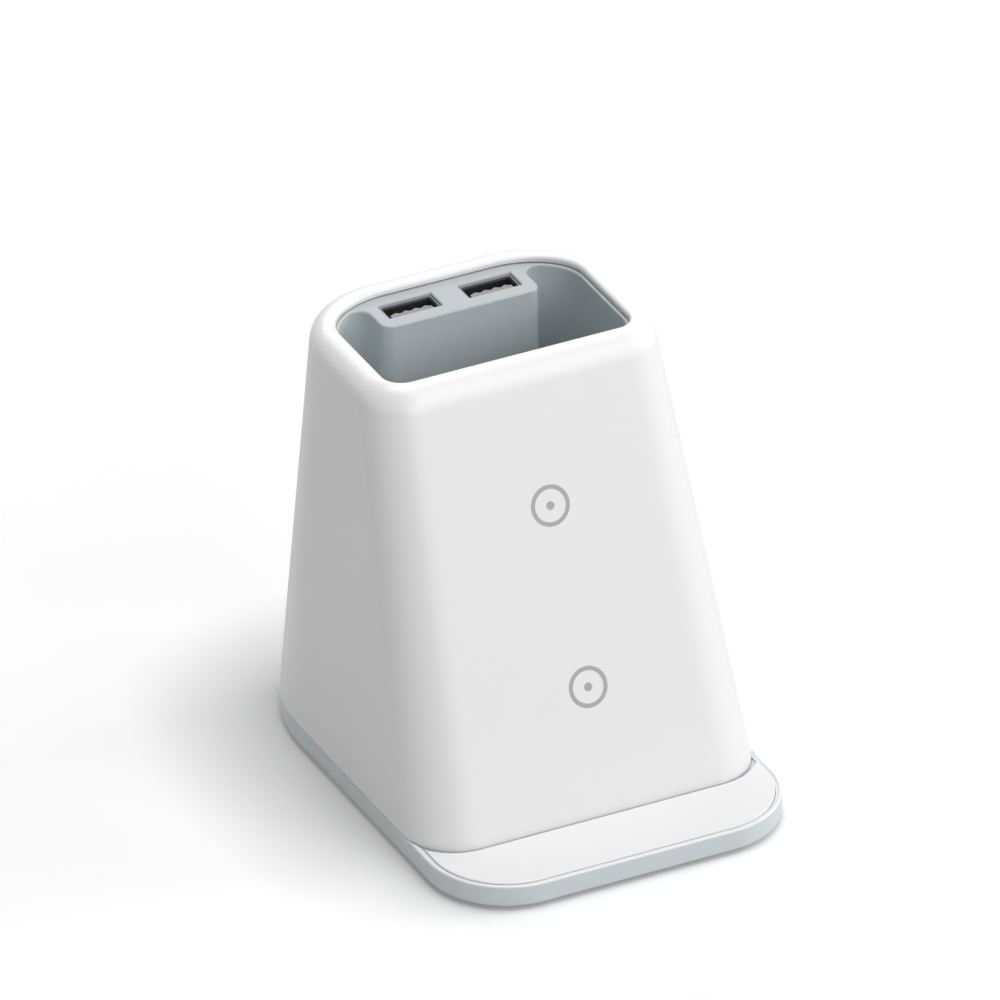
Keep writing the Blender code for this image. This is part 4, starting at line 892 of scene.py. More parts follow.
def pads_rule():
    """Soldered pads in a row on each of a chip's four sides."""
    sizes = {"reach": 0.0035, "width": 0.0003, "length": 0.0006, "height": 0.0002}
    rule = Rule("chip_pads", count=8, pitch=0.0006, place=ORIGIN, **sizes)
    reach, width, length, height = (rule.size(key) for key in sizes)
    pad = rule.node("GeometryNodeMeshCube", None, {"Size": rule.vector(width, length, height)})
    side = rule.repeated(rule.row(reach - length * 0.5, height * 0.5), pad)
    sides = rule.node("GeometryNodeMeshLine", None, {"Count": 4, "Offset": ORIGIN})
    turn = rule.vector(z=rule.node("GeometryNodeInputIndex") * (math.pi / 2))
    return rule.ends(rule.moved(rule.repeated(sides, side, turn), rule.size("place")))


# Main mouldings


def shell_rings():
    """Outer wall up, over the rolled rim, under its lip and down the inner wall."""
    roll_start = HEIGHT - ROLL_HEIGHT
    lead = 4 * STRAIGHT_LEAD
    rings = [
        (TOWER_FOOT, SHELL_BOTTOM + SHELL_CHAMFER),
        (TOWER_FOOT, PLATE_TOP - lead / 4),
        (TOWER_FOOT, PLATE_TOP),
    ]
    rings += [(tower_outline(z), z) for z in (PLATE_TOP + lead, roll_start - lead, roll_start)]
    to_mouth = [m - c for m, c in zip(MOUTH, TOWER_CROWN)]
    for turn in np.linspace(0, math.pi / 2, ROLL_STEPS + 1)[1:]:
        z, share = roll_start + ROLL_HEIGHT * math.sin(turn), ROLL_SHARE * (1 - math.cos(turn))
        rings.append((Outline(*[o + g * share for o, g in zip(tower_outline(z), to_mouth)]), z))
    for run, rest in quarter_round():
        rings.append((mixed(TOWER_CROWN, MOUTH, 1 - EDGE_SHARE * rest), HEIGHT - EDGE_HEIGHT * run))
    lip_z, step_z = SHELF_Z + SEAT_GAP, SHELF_Z - FLANGE_THICKNESS - SEAT_GAP
    recess, inner_top = grown(MOUTH, FLANGE_REACH + SEAT_GAP), step_z - SHELL_THICKENING
    rings += [(MOUTH, lip_z), (recess, lip_z), (recess, step_z)]
    rings.append((grown(tower_outline(inner_top), -SHELL_WALL), inner_top))
    rings += [(grown(TOWER_FOOT, -SHELL_WALL), z) for z in (PLATE_TOP, SHELL_BOTTOM)]
    return rings + [(grown(TOWER_FOOT, -SHELL_CHAMFER), SHELL_BOTTOM)]


def inlet_points(by):
    length, width, corner = INLET_HOLE
    outline = box_outline(length + 2 * by, width + 2 * by, corner + by)
    return [(x, z + INLET_Z) for x, z in outline_points(outline, SMALL_CORNER_STEPS)]


def outer_shell():
    """The white tower, with its bosses and ribs inside and the opening for the inlet."""
    shell = stacked("outer_shell_moulding", shell_rings(), tube=True)
    low, high, wall = LIP_TOP + SEAT_GAP, LIP_TOP + SEAT_GAP + BOSS_HEIGHT, 0.0016
    wall_x = tower_outline(high).half_width - SHELL_WALL / 2
    ribs, bosses, pilots = [], [], []
    for x, y in SHELL_BOSSES:
        inner, outer = sorted([x, math.copysign(wall_x, x)])
        ribs.append(block("rib", (inner, y - wall / 2, low + wall), (outer, y + wall / 2, high)))
        bosses.append(rod("boss", BOSS_RADIUS, low, high, x, y))
        pilots.append(rod("pilot", BASE_PILOT, low - OVERRUN, high - wall, x, y, 32))
    end = CARRIER_FACE - SEAT_GAP
    for x, up in TABS:
        ring, hole = circle_points(TAB_BOSS, 32, x, up), circle_points(PILOT, 24, x, up)
        bosses.append(behind_face("carrier_boss", ring, FACE_INNER / 2, end))
        pilots.append(behind_face("carrier_pilot", hole, FACE_INNER - SEAT_GAP, end + OVERRUN))
    skin = tower_outline(INLET_Z).back
    mouth = [(0, -2 * SHELL_WALL), (0, -0.0006), (0.0001, -0.0003), (0.0005, 0.0001), (0.0005, OVERRUN)]
    inlet = lofted("inlet_cutter", [[(x, skin + y, z) for x, z in inlet_points(by)] for by, y in mouth])
    carved(shell, [(ADD, ribs), (ADD, bosses), (CUT, pilots + [inlet])])
    dressed(smoothed(shell), "shell", "shell_white", "outer_shell")


def aperture_cutter(x):
    """A port's opening, with a rounded edge round its top."""
    edge, (length, width) = APERTURE_EDGE, APERTURE
    profile = [
        (0, -FLANGE_THICKNESS - OVERRUN),
        (0, -edge),
        (0.13 * edge, -0.5 * edge),
        (0.5 * edge, -0.13 * edge),
    ]
    rings = [(by, LEAST_CORNER + by, SHELF_Z + rise) for by, rise in profile + [(edge, 0), (edge, OVERRUN)]]
    low, high = [(x + sign * length / 2, PORT_LINE + sign * width / 2) for sign in (-1, 1)]
    return rounded("aperture", low, high, rings)


def cup_liner():
    """A moulded cup: a flange under the rim, the port shelf at its back and one drafted pocket."""
    liner = slab("cup_liner_moulding", grown(MOUTH, FLANGE_REACH), SHELF_Z - FLANGE_THICKNESS, SHELF_Z)
    radius, edge, under = POCKET_FLOOR_RADIUS, POCKET_EDGE, SHELF_Z - FLANGE_THICKNESS / 2
    body = [(-LINER_WALL, under)]
    body += [
        (POCKET_TAPER - LINER_WALL + radius * run, LINER_BOTTOM + radius * rest)
        for run, rest in quarter_round()
    ]
    hollow = [(-edge, SHELF_Z + OVERRUN)] + [
        (-edge * rest, SHELF_Z - edge * run) for run, rest in quarter_round()
    ]
    hollow.append((0.00001, SHELF_Z - 2 * edge))
    hollow += [(POCKET_TAPER + radius * run, POCKET_FLOOR_Z + radius * rest) for run, rest in quarter_round()]
    wall, pocket = [
        lofted("liner_wall", [at_height(pocket_points(shrink), z) for shrink, z in rings])
        for rings in (body, hollow)
    ]
    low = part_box("port_board")[1].z + SEAT_GAP
    posts, holes = [], []
    for y in PORT_BOSSES:
        posts.append(rod("port_boss", PORT_BOSS_RADIUS, low, under, 0, y))
        holes.append(rod("port_pilot", PILOT, low - OVERRUN, low + 0.0045, 0, y, 24))
    holes += [aperture_cutter(x) for x in (-PORT_PITCH / 2, PORT_PITCH / 2)]
    carved(liner, [(ADD, [wall]), (CUT, [pocket]), (ADD, posts), (CUT, holes)])
    dressed(smoothed(liner), "liner", "grey_blue", "cup_liner")


def tray_rings():
    """The tray's outside, from its flat underside up to the land round the plate."""
    bevel = RIM_TOP - BAND_TOP
    rings = [
        (grown(BASE, -UNDER_ROUND * rest), UNDERSIDE + UNDER_ROUND * run) for run, rest in quarter_round()
    ]
    return rings + [
        (grown(BASE, -bevel * run), BAND_TOP + bevel * (1 - rest)) for run, rest in quarter_round()
    ]


def plate_cut():
    """The outline that the plate leaves free round the tower's foot; the groove opens out at the corners."""
    return grown(TOWER_FOOT, PLATE_TO_TOWER)._replace(half_width=TOWER_FOOT.half_width + PLATE_TO_SIDE)


def ledge_ribs(ledge):
    """Three ribs under the plate, which run a little way into the walls and the floor."""
    half, into_wall, into_floor = 0.0007, 0.0017, 0.0004
    ribs = []
    for share in (-0.5, 0, 0.5):
        x = share * ledge.half_width
        low = (x - half, ledge.front - into_wall, CAVITY_Z - into_floor)
        ribs.append(block("ledge_rib", low, (x + half, ledge.back + into_wall, SEAT_Z)))
    return ribs


def plate_seat(over):
    """What is cut out of the tray for the plate: a bevelled rim, a low step and the seat."""
    step = 0.0001 - PLATE_SETBACK
    rings = [(RIM_EDGE - RIM_LAND, over), (RIM_EDGE - RIM_LAND, RIM_TOP), (-RIM_LAND, RIM_TOP - RIM_EDGE)]
    rings += [(-RIM_LAND, STEP_TOP), (step, STEP_TOP), (step, SEAT_Z)]
    return stacked("seat_cutter", [(grown(BASE, by), z) for by, z in rings])


def foot_bead(over):
    """The raised floor of the groove round the tower's foot, as far as the rim."""
    bead = slab("foot_bead", grown(plate_cut(), -BEAD_SHORT), SEAT_Z - LIP_SINK, BEAD_TOP)
    foot = slab("bead_cutter", grown(TOWER_FOOT, BEAD_FROM), 0, over)
    within = slab("bead_limit", grown(BASE, RIM_EDGE - RIM_LAND), 0, over)
    return carved(bead, [(CUT, [foot]), (KEEP, [within])])


def tray_bores():
    """Counterbores and pilot holes for the screws, and the recesses of the feet."""
    below, seat = UNDERSIDE - OVERRUN, UNDERSIDE + BORE_DEPTH
    mouth, inside = BORE_RADII
    bore = [(mouth, below), (mouth, UNDERSIDE), (inside, UNDERSIDE + 0.0004), (inside, seat)]
    bore += [(BASE_PILOT, seat), (BASE_PILOT, LIP_TOP + OVERRUN)]
    mouth, inside = FOOT_RADII
    recess = [
        (mouth, below),
        (mouth, UNDERSIDE),
        (inside, UNDERSIDE + 0.0003),
        (inside, UNDERSIDE + FOOT_SINK),
    ]
    cuts = [lathed("counterbore", bore, *place) for place in SHELL_BOSSES]
    cuts += [rod("stand_hole", PILOT, CAVITY_Z, STANDOFF_TOP + OVERRUN, *place, 24) for place in STANDOFFS]
    return cuts + [lathed("foot_recess", recess, *place) for place in FEET]


def base_tray():
    """The tray under everything: its rim, the plate's seat, the tower's land and lip, posts and bores."""
    tray = stacked("base_tray_moulding", tray_rings())
    over, lip_low = RIM_TOP + OVERRUN, SEAT_Z - LIP_SINK
    lip_outer, lip_inner = [grown(TOWER_FOOT, -SHELL_WALL - SEAT_GAP - wall) for wall in (0, LIP_WALL)]
    lip = [(lip_outer, lip_low), (lip_outer, LIP_TOP), (lip_inner, LIP_TOP), (lip_inner, lip_low)]
    lip = stacked("tray_lip", lip, tube=True)
    front, back = BASE.front + TRAY_SIDE, TOWER_FOOT.front - SHELL_WALL
    radius = min(BASE.front_radius - TRAY_SIDE, back - front - SHELL_WALL)
    ledge = Outline(BASE.half_width - TRAY_SIDE, front, back, radius, SHELL_WALL, SHELL_WALL)
    floor = CAVITY_Z - 0.0009
    stands = [rod("tower", SCREW_TOWER, floor, LIP_TOP, *place) for place in SHELL_BOSSES]
    stands += [rod("post", LINER_POST, floor, LINER_BOTTOM - SEAT_GAP, *place, 32) for place in POSTS]
    stands += [rod("stand", BOARD_STAND, floor, STANDOFF_TOP, *place, 32) for place in STANDOFFS]
    steps = [
        (CUT, [plate_seat(over)]),
        (ADD, [slab("tower_land", TOWER_FOOT, lip_low, RIM_TOP - 0.0001)]),
        (CUT, [slab("rim_cutter", grown(TOWER_FOOT, PLATE_TO_TOWER), BAND_TOP, over)]),
        (ADD, [lip, foot_bead(over)]),
        (CUT, [slab("cavity_cutter", lip_inner, CAVITY_Z, over)]),
        (CUT, [slab("ledge_cutter", ledge, CAVITY_Z, SEAT_Z + OVERRUN)]),
        (ADD, ledge_ribs(ledge)),
        (ADD, stands),
        (CUT, tray_bores()),
    ]
    dressed(smoothed(carved(tray, steps)), "tray", "grey_blue", "base_tray")


def ledge_plate():
    """The glossy plate: its outer edge is rounded over, and the tower's foot is cut out of it."""
    outline, edge = grown(BASE, -PLATE_SETBACK), PLATE_ROUND / 2
    rings = [(outline, PLATE_LOW)]
    rings += [
        (grown(outline, -PLATE_ROUND * run), PLATE_TOP - PLATE_ROUND * rest)
        for run, rest in quarter_round()
    ]
    plate = stacked("ledge_plate_moulding", rings)
    cut = [(0, PLATE_LOW - OVERRUN), (0, PLATE_TOP - edge), (edge, PLATE_TOP), (edge, PLATE_TOP + OVERRUN)]
    carved(plate, [(CUT, [stacked("tower_cutter", [(grown(plate_cut(), by), z) for by, z in cut])])])
    dressed(smoothed(plate), "plate", "plate_white", "ledge_plate")


# Sockets, inlet and marks


def bevelled(made, width, segments=3):
    modifier = made.modifiers.new("rounded edges", "BEVEL")
    modifier.width, modifier.segments, modifier.limit_method = width, segments, "ANGLE"
    modifier.harden_normals = True
    made.data.shade_smooth()
    return settled(made)


def usb_shell(side):
    """A drawn metal shell with a flared lip and two spring windows in each broad wall."""
    node = f"usb_shell_{side}"
    low, high, middle = solid_box(node)
    wall, lip = 0.0003, 0.00012
    body = rounded(f"{node}_drawn", low, high, [(0, 0.0006, z) for z in (low.z, high.z)])
    depths = [
        (-wall, low.z + wall),
        (-wall, high.z - 2 * lip),
        (-wall + lip, high.z),
        (-wall + lip, high.z + OVERRUN),
    ]
    bore = rounded("bore", low, high, [(by, 0.0004, z) for by, z in depths])
    windows, half = [], 0.0011
    for x in (middle.x - 0.0028, middle.x + 0.0028):
        near = (x - half, low.y - OVERRUN, high.z - 0.0078)
        windows.append(block("window", near, (x + half, high.y + OVERRUN, high.z - 0.0040)))
    carved(body, [(CUT, [bore]), (CUT, windows)])
    dressed(smoothed(body), "socket", "steel", node)


def usb_tongue(side, contacts):
    """The insulator with its tongue, whose four rounded ribs at the top guide the contacts."""
    node = f"usb_tongue_{side}"
    low, high, middle = solid_box(node)
    strip_low, _, strip = solid_box(f"usb_contact_{side}_1")
    half, face, edge, corner = 0.00525, strip_low.y - 0.0001, 0.00018, 0.0004
    body = rounded(f"{node}_moulding", low, high, [(-0.00002, corner, z) for z in (low.z, low.z + 0.0040)])
    profile = [(0, low.z + 0.0003), (0, high.z - edge), (-edge * 0.3, high.z - edge * 0.3), (-edge, high.z)]
    blade_low, blade_high = (middle.x - half, face - 0.0018), (middle.x + half, face)
    blade = rounded("blade", blade_low, blade_high, [(by, corner + by, z) for by, z in profile])
    radius = 0.00105
    profile = [(radius, high.z - 0.0013), (radius, high.z - edge), (radius - edge * 0.3, high.z - edge * 0.3)]
    profile.append((radius - edge, high.z - 0.00002))
    places = [middle.x + (i - 1.5) * CONTACT_PITCH for i in range(4)]
    ribs = [lathed("rib", profile, x, face - 0.0006, 40) for x in places]
    carved(body, [(ADD, [blade]), (ADD, ribs)])
    dressed(smoothed(body), "tongue", "socket_black", node)
    place = (middle.x, strip.y, strip_low.z)
    made = contacts.make(f"usb_contacts_{side}", "gold", length=0.0056, bow=0.00022, place=place)
    dressed(made, None, "contact_gold", *[f"usb_contact_{side}_{i}" for i in range(1, 5)])


def oval_rings(low, high, z, profile):
    """A socket's flat oval outline, grown by a length at each depth."""
    rings = []
    for by, y in profile:
        corner = (high.z - low.z) / 2 - 0.0001 + by
        outline = box_outline(high.x - low.x + 2 * by, high.z - low.z + 2 * by, corner)
        rings.append([(px, y, z + pz) for px, pz in outline_points(outline, SMALL_CORNER_STEPS + 4)])
    return rings


def power_inlet(contacts):
    """A flat oval shell with a rounded mouth round a thin tongue that has contacts on both faces."""
    low, high, middle = solid_box("inlet_shell")
    lip, wall, half = 0.0001, 0.0003, 0.00035
    body = [(0, low.y), (0, high.y - lip), (-lip * 0.3, high.y - lip * 0.3), (-lip, high.y)]
    bore = [
        (-wall, low.y + wall),
        (-wall, high.y - lip),
        (-wall + lip, high.y),
        (-wall + lip, high.y + OVERRUN),
    ]
    shell = lofted("inlet_shell_drawn", oval_rings(low, high, middle.z, body))
    carved(shell, [(CUT, [lofted("inlet_bore", oval_rings(low, high, middle.z, bore))])])
    dressed(smoothed(shell), "nickel", "steel", "inlet_shell")
    low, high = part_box("inlet_tongue")
    blade = block(
        "inlet_blade", (-0.0033, low.y + 0.0003, middle.z - half), (0.0033, high.y, middle.z + half)
    )
    stem = oval_rings(low, high, middle.z, [(-0.0004, y) for y in (low.y, low.y + 0.0030)])
    tongue = carved(lofted("inlet_tongue_moulding", stem), [(ADD, [bevelled(blade, 0.0002)])])
    dressed(smoothed(tongue), "insulator", "socket_black", "inlet_tongue")
    rows = []
    sizes = {"pitch": 0.0005, "width": 0.00026, "thickness": 0.00006, "length": 0.0040, "bow": 0.0}
    for sign in (-1, 1):
        row = contacts.make(f"inlet_row_{sign}", "gold", count=12, **sizes)
        row.data.transform(Matrix.Rotation(-math.pi / 2, 4, "X"))
        row.data.transform(Matrix.Translation((0, low.y + 0.0044, middle.z + sign * 0.00036)))
        rows.append(row)
    dressed(together("inlet_contacts", rows), "gold", "contact_gold")


def coil_marks():
    """A printed ring and dot in front of each coil."""
    outer, inner, dot = 0.0048, 0.0038, 0.0010
    back, front = 0.0001, -0.00002
    parts = []
    for coil, x in MARK_ASIDE.items():
        up, ring = COIL_UPS[coil], []
        for radius, depth in ((outer, back), (outer, front), (inner, front), (inner, back)):
            ring.append([face_point(*place, depth) for place in circle_points(radius, 64, x, up)])
        parts.append(lofted("ring", ring, tube=True))
        parts.append(behind_face("dot", circle_points(dot, 40, x, up), back, front))
    dressed(smoothed(together("coil_marks", parts)), "ink", None)


# Feet, screws, windings and leads


def feet(corner_places):
    """Turned rubber feet with a rounded edge and two shallow rings underneath."""
    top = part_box("foot_front_left")[1].z
    radius, edge, deep = 0.0050, 0.0006, 0.00012
    profile = [(0.0001, 0), (0.0020, 0), (0.0021, deep), (0.0024, deep), (0.0025, 0)]
    profile += [(0.0034, 0), (0.0035, deep), (0.0038, deep), (0.0039, 0)]
    profile += [(radius - edge * rest, edge * run) for run, rest in quarter_round(6)]
    foot = smoothed(lathed("foot", profile + [(radius, top - 0.0001), (radius - 0.0001, top)]))
    sizes = {
        "across": 2 * FOOT_X,
        "along": FOOT_BACK - FOOT_FRONT,
        "middle": (0, (FOOT_FRONT + FOOT_BACK) / 2, 0),
    }
    made = corner_places.make("rubber_feet", "rubber", foot.data, **sizes)
    bpy.data.objects.remove(foot)
    dressed(made, None, "foot_rubber", *[f"foot_{corner}" for corner in CORNER_NAMES])


def screw_set(prefix, screws, corner_places, turn, sizes, tilt=ORIGIN):
    """Four like screws, at the corners where their solids are."""
    nodes = [f"{prefix}_{corner}" for corner in CORNER_NAMES]
    screw = screws.make("screw", "steel", **sizes)
    crisp(screw.data, SCREW_ANGLE)
    if tilt == ORIGIN:
        boxes = [solid_box(node) for node in nodes]
        low, high, _ = boxes[0]
        xs, ys = [[middle[axis] for _, _, middle in boxes] for axis in (0, 1)]
        across, along = max(xs) - min(xs), max(ys) - min(ys)
        seat = low.z + sizes["head_height"] if turn == ORIGIN else high.z - sizes["head_height"]
        middle = (0, sum(ys) / len(ys), seat)
    else:
        across, along = 2 * TAB_X, TAB_UPS[1] - TAB_UPS[0]
        middle = face_point(0, sum(TAB_UPS) / 2, CARRIER_BACK + SEAT_GAP)
    places = {"across": across, "along": along, "middle": middle, "tilt": tilt, "turn": turn}
    made = corner_places.make(f"{prefix}s", "steel", screw.data, **places)
    bpy.data.objects.remove(screw)
    dressed(made, None, "steel", *nodes)


def screws_everywhere():
    screws, places = screw_rule(), corners_rule()
    screw_set("base_screw", screws, places, ORIGIN, {"head_height": 0.0016})
    small = {
        "radius": 0.0009,
        "head_radius": 0.0018,
        "head_height": 0.0012,
        "pitch": 0.0007,
        "recess": 0.0005,
    }
    screw_set("board_screw", screws, places, (math.pi, 0.0, 0.0), {**small, "length": 0.0045})
    upright = (math.pi / 2 - FACE_LEAN, 0.0, 0.0)
    screw_set("carrier_screw", screws, places, upright, {**small, "length": 0.0050}, upright)
    small["head_radius"] = 0.0016
    for node in ("port_screw_1", "port_screw_2"):
        low, _, middle = solid_box(node)
        made = screws.make(f"{node}_turned", "steel", **small, length=0.0045)
        made.data.transform(Matrix.Translation((middle.x, middle.y, low.z + small["head_height"])))
        crisp(made.data, SCREW_ANGLE)
        dressed(made, None, "steel", node)
    feet(places)


def line_mesh(name, points):
    mesh = bpy.data.meshes.new(name)
    mesh.from_pydata([tuple(p) for p in points], [(i, i + 1) for i in range(len(points) - 1)], [])
    return mesh


def coil_points(up, depth):
    """A flat spiral that runs out past its last turn to the lead slot."""
    end, tail_angle = math.pi, math.radians(50)
    points = []
    for angle in np.linspace(end - math.tau * COIL_TURNS, end, COIL_TURNS * 72 + 1):
        tail = max(0.0, 1 - (end - angle) / tail_angle)
        radius = COIL_OUTER - COIL_PITCH * (end - angle) / math.tau + LEAD_OUT * tail**2
        points.append(face_point(radius * math.cos(angle), up + radius * math.sin(angle), depth))
    return points


def smooth_route(route):
    """A centripetal Catmull-Rom curve through the route's points."""

    def blend(low, high, start, end):
        return low + (high - low) * (knot - start) / (end - start)

    route = [np.array(point) for point in route]
    ends = [2 * route[0] - route[1], *route, 2 * route[-1] - route[-2]]
    points = []
    for a, b, c, d in zip(ends, ends[1:], ends[2:], ends[3:]):
        gaps = [math.sqrt(np.linalg.norm(end - start)) for start, end in ((a, b), (b, c), (c, d))]
        ka, kb, kc, kd = np.cumsum([0, *gaps])
        for knot in np.linspace(kb, kc, ROUTE_STEPS, endpoint=False):
            ab, bc, cd = blend(a, b, ka, kb), blend(b, c, kb, kc), blend(c, d, kc, kd)
            points.append(blend(blend(ab, bc, ka, kc), blend(bc, cd, kb, kd), kb, kc))
    return points + [route[-1]]


def windings_and_leads():
    """Each coil's flat winding, its twisted pair down to the board, and the harness of the ports."""
    winding, bend = winding_rule(), 0.0024
    behind, start_in = CARRIER_BACK + 0.0012 + LEAD_RADIUS, WIRE_DEPTH + WIRE_RADIUS + SEAT_GAP
    x, carrier_low = -COIL_OUTER - LEAD_OUT, COIL_UPS["lower"] - CARRIER_HALF - 0.0012
    header_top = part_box("lead_header_lower")[1].z
    sizes = {"radius": 0.00040, "lay_radius": 0.00040, "turns_per_metre": 130.0, "strands": 2}
    for i, (name, up) in enumerate(COIL_UPS.items()):
        coil = winding.make(
            f"charging_coil_{name}_wound", "copper", line_mesh("coil", coil_points(up, WIRE_DEPTH))
        )
        dressed(coil, None, "coil_copper", f"charging_coil_{name}")
        aside = 2 * i * bend
        header_x, header_y, _ = solid_box(f"lead_header_{name}")[2]
        route = [
            face_point(x, up, start_in),
            face_point(x, up, start_in + bend),
            face_point(x, up - bend / 2, behind - LEAD_RADIUS),
            face_point(x, up - 2 * bend, behind),
            face_point(x + aside * 0.75, (up + carrier_low) / 2, behind),
            face_point(x + aside, carrier_low + bend, behind + bend),
            (header_x - bend, header_y - 2 * bend, header_top + 2 * bend),
            (header_x, header_y, header_top + SEAT_GAP + bend),
            (header_x, header_y, header_top + SEAT_GAP),
        ]
        lead = winding.make(
            f"coil_lead_{name}_pair", "sheath", line_mesh("lead", smooth_route(route)), **sizes
        )
        dressed(lead, None, "lead_black", f"coil_lead_{name}")
    low, high, middle = solid_box("port_harness")
    line_y, bend = low.y + LEAD_RADIUS, 0.0032
    places = [(0, high.z), (0, high.z - bend), (0.0008, middle.z), (0, low.z + bend), (0, low.z)]
    route = [(middle.x, line_y + out, z) for out, z in places]
    sizes = {"radius": 0.00036, "lay_radius": 0.00042, "turns_per_metre": 90.0, "strands": 4, "sides": 12}
    harness = winding.make(
        "port_harness_bundle", "sheath", line_mesh("harness", smooth_route(route)), **sizes
    )
    dressed(harness, None, "lead_black", "port_harness")


# Boards and what stands on them


def chips():
    """Moulded chips with a pin-one dimple, and their rows of soldered pads."""
    pads, inset, aside = pads_rule(), Vector((0.00004, 0.00004, 0)), 0.0009
    for node, count in (
        ("controller_chip", 12),
        ("bridge_chip_lower", 8),
        ("bridge_chip_upper", 8),
        ("port_chip", 8),
    ):
        low, high, middle = solid_box(node)
        body = bevelled(block(f"{node}_body", low + inset, high - inset), 0.00012, 2)
        profile = [(0.0003, high.z - 0.00008), (0.0004, high.z + 0.0005)]
        carved(body, [(CUT, [lathed("dimple", profile, low.x + aside, low.y + aside, 24)])])
        dressed(smoothed(body), "epoxy", "chip_black", node)
        length = high.x - low.x
        sizes = {
            "pitch": (length - 0.0014) / (count - 1),
            "reach": length / 2,
            "place": (middle.x, middle.y, low.z),
        }
        dressed(pads.make(f"{node}_pads", "tin", count=count, **sizes), None, "steel")


def inductor():
    """A pressed block with a ring sunk into its top."""
    low, high, middle = solid_box("port_inductor")
    body = bevelled(block("port_inductor_body", low, high), 0.0005)
    inner, outer, floor, over = 0.0024, 0.0026, high.z - 0.00015, high.z + OVERRUN
    rings = [(inner, floor), (inner, over), (outer, over), (outer, floor)]
    carved(body, [(CUT, [lathed("groove", rings, middle.x, middle.y, tube=True)])])
    dressed(smoothed(body), "inductor", "chip_black", "port_inductor")


def ceramic_capacitors():
    """Ceramic blocks between tinned end caps."""
    cap = 0.0011
    inset = Vector((cap * 0.8, 0.00006, 0.00006))
    for coil in COIL_UPS:
        node = f"resonant_capacitor_{coil}"
        low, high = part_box(node)
        body = bevelled(block(f"{node}_body", low + inset, high - inset), 0.0001)
        ends = [
            block("end", low, (low.x + cap, high.y, high.z)),
            block("end", (high.x - cap, low.y, low.z), high),
        ]
        dressed(body, "ceramic", "capacitor_ceramic", node)
        dressed(together(f"{node}_caps", [bevelled(end, 0.00022) for end in ends]), "tin", "steel")


def bulk_capacitor():
    """A drawn can with a crimp near its foot, a rounded edge and a cross scored into its top."""
    low, high, middle = solid_box("bulk_capacitor")
    radius, tall, edge = (high.x - low.x) / 2, high.z - low.z, 0.0005
    crimp = radius * 0.94
    profile = [(radius * 0.90, 0), (radius, 0.00025), (radius, 0.0007), (crimp, 0.0009), (crimp, 0.0011)]
    profile += [(radius, 0.0013), (radius, tall - edge)]
    turns = np.linspace(0.2, 1.57, 6)
    profile += [(radius - edge * (1 - math.cos(a)), tall - edge * (1 - math.sin(a))) for a in turns]
    profile.append((radius * 0.80, tall - 0.0001))
    can = lathed("bulk_capacitor_can", [(r, low.z + z) for r, z in profile], middle.x, middle.y)
    long, thin, floor, over = 0.0018, 0.00006, high.z - 0.00018, high.z + OVERRUN
    scores = []
    for x, y in ((long, thin), (thin, long)):
        score = block("score", (middle.x - x, middle.y - y, floor), (middle.x + x, middle.y + y, over))
        scores.append((CUT, [score]))
    dressed(smoothed(carved(can, scores)), "can", "steel", "bulk_capacitor")


def headers(contacts):
    """Cream wafer headers: an open well with a latch slot, and the pins that stand in it."""
    wall, side, deep = Vector((0.0006, 0.0006, 0.0008)), 0.0018, 0.0011
    sizes = {"width": 0.0004, "thickness": 0.0004, "length": 0.0021, "bow": 0.0}
    for node, pins, pitch in (
        ("lead_header_lower", 2, 0.0020),
        ("lead_header_upper", 2, 0.0020),
        ("port_header", 4, 0.0012),
    ):
        low, high, middle = solid_box(node)
        over = high.z + OVERRUN
        body = bevelled(block(f"{node}_wafer", low, high), 0.00015, 2)
        well = block("well", low + wall, (high.x - wall.x, high.y - wall.y, over))
        slot = block(
            "slot", (low.x + side, low.y - OVERRUN, high.z - deep), (high.x - side, low.y + 0.0008, over)
        )
        carved(body, [(CUT, [well]), (CUT, [slot])])
        dressed(smoothed(body), "nylon", "header_cream", node)
        place = (middle.x, middle.y, low.z + 0.0006)
        made = contacts.make(f"{node}_pins", "tin", count=pins, pitch=pitch, place=place, **sizes)
        dressed(made, None, "steel")


def carried_over():
    """Solids whose shape is right keep it and take a better finish."""
    finish = {"main_board": "board", "port_board": "board", "coil_carrier": "carrier"}
    finish.update({f"ferrite_sheet_{coil}": "ferrite" for coil in COIL_UPS})
    for node, name in finish.items():
        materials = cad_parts[node].data.materials
        if not len(materials):
            materials.append(FINISH[name])
        for i in range(len(materials)):
            materials[i] = FINISH[name]


# Floor, light and camera


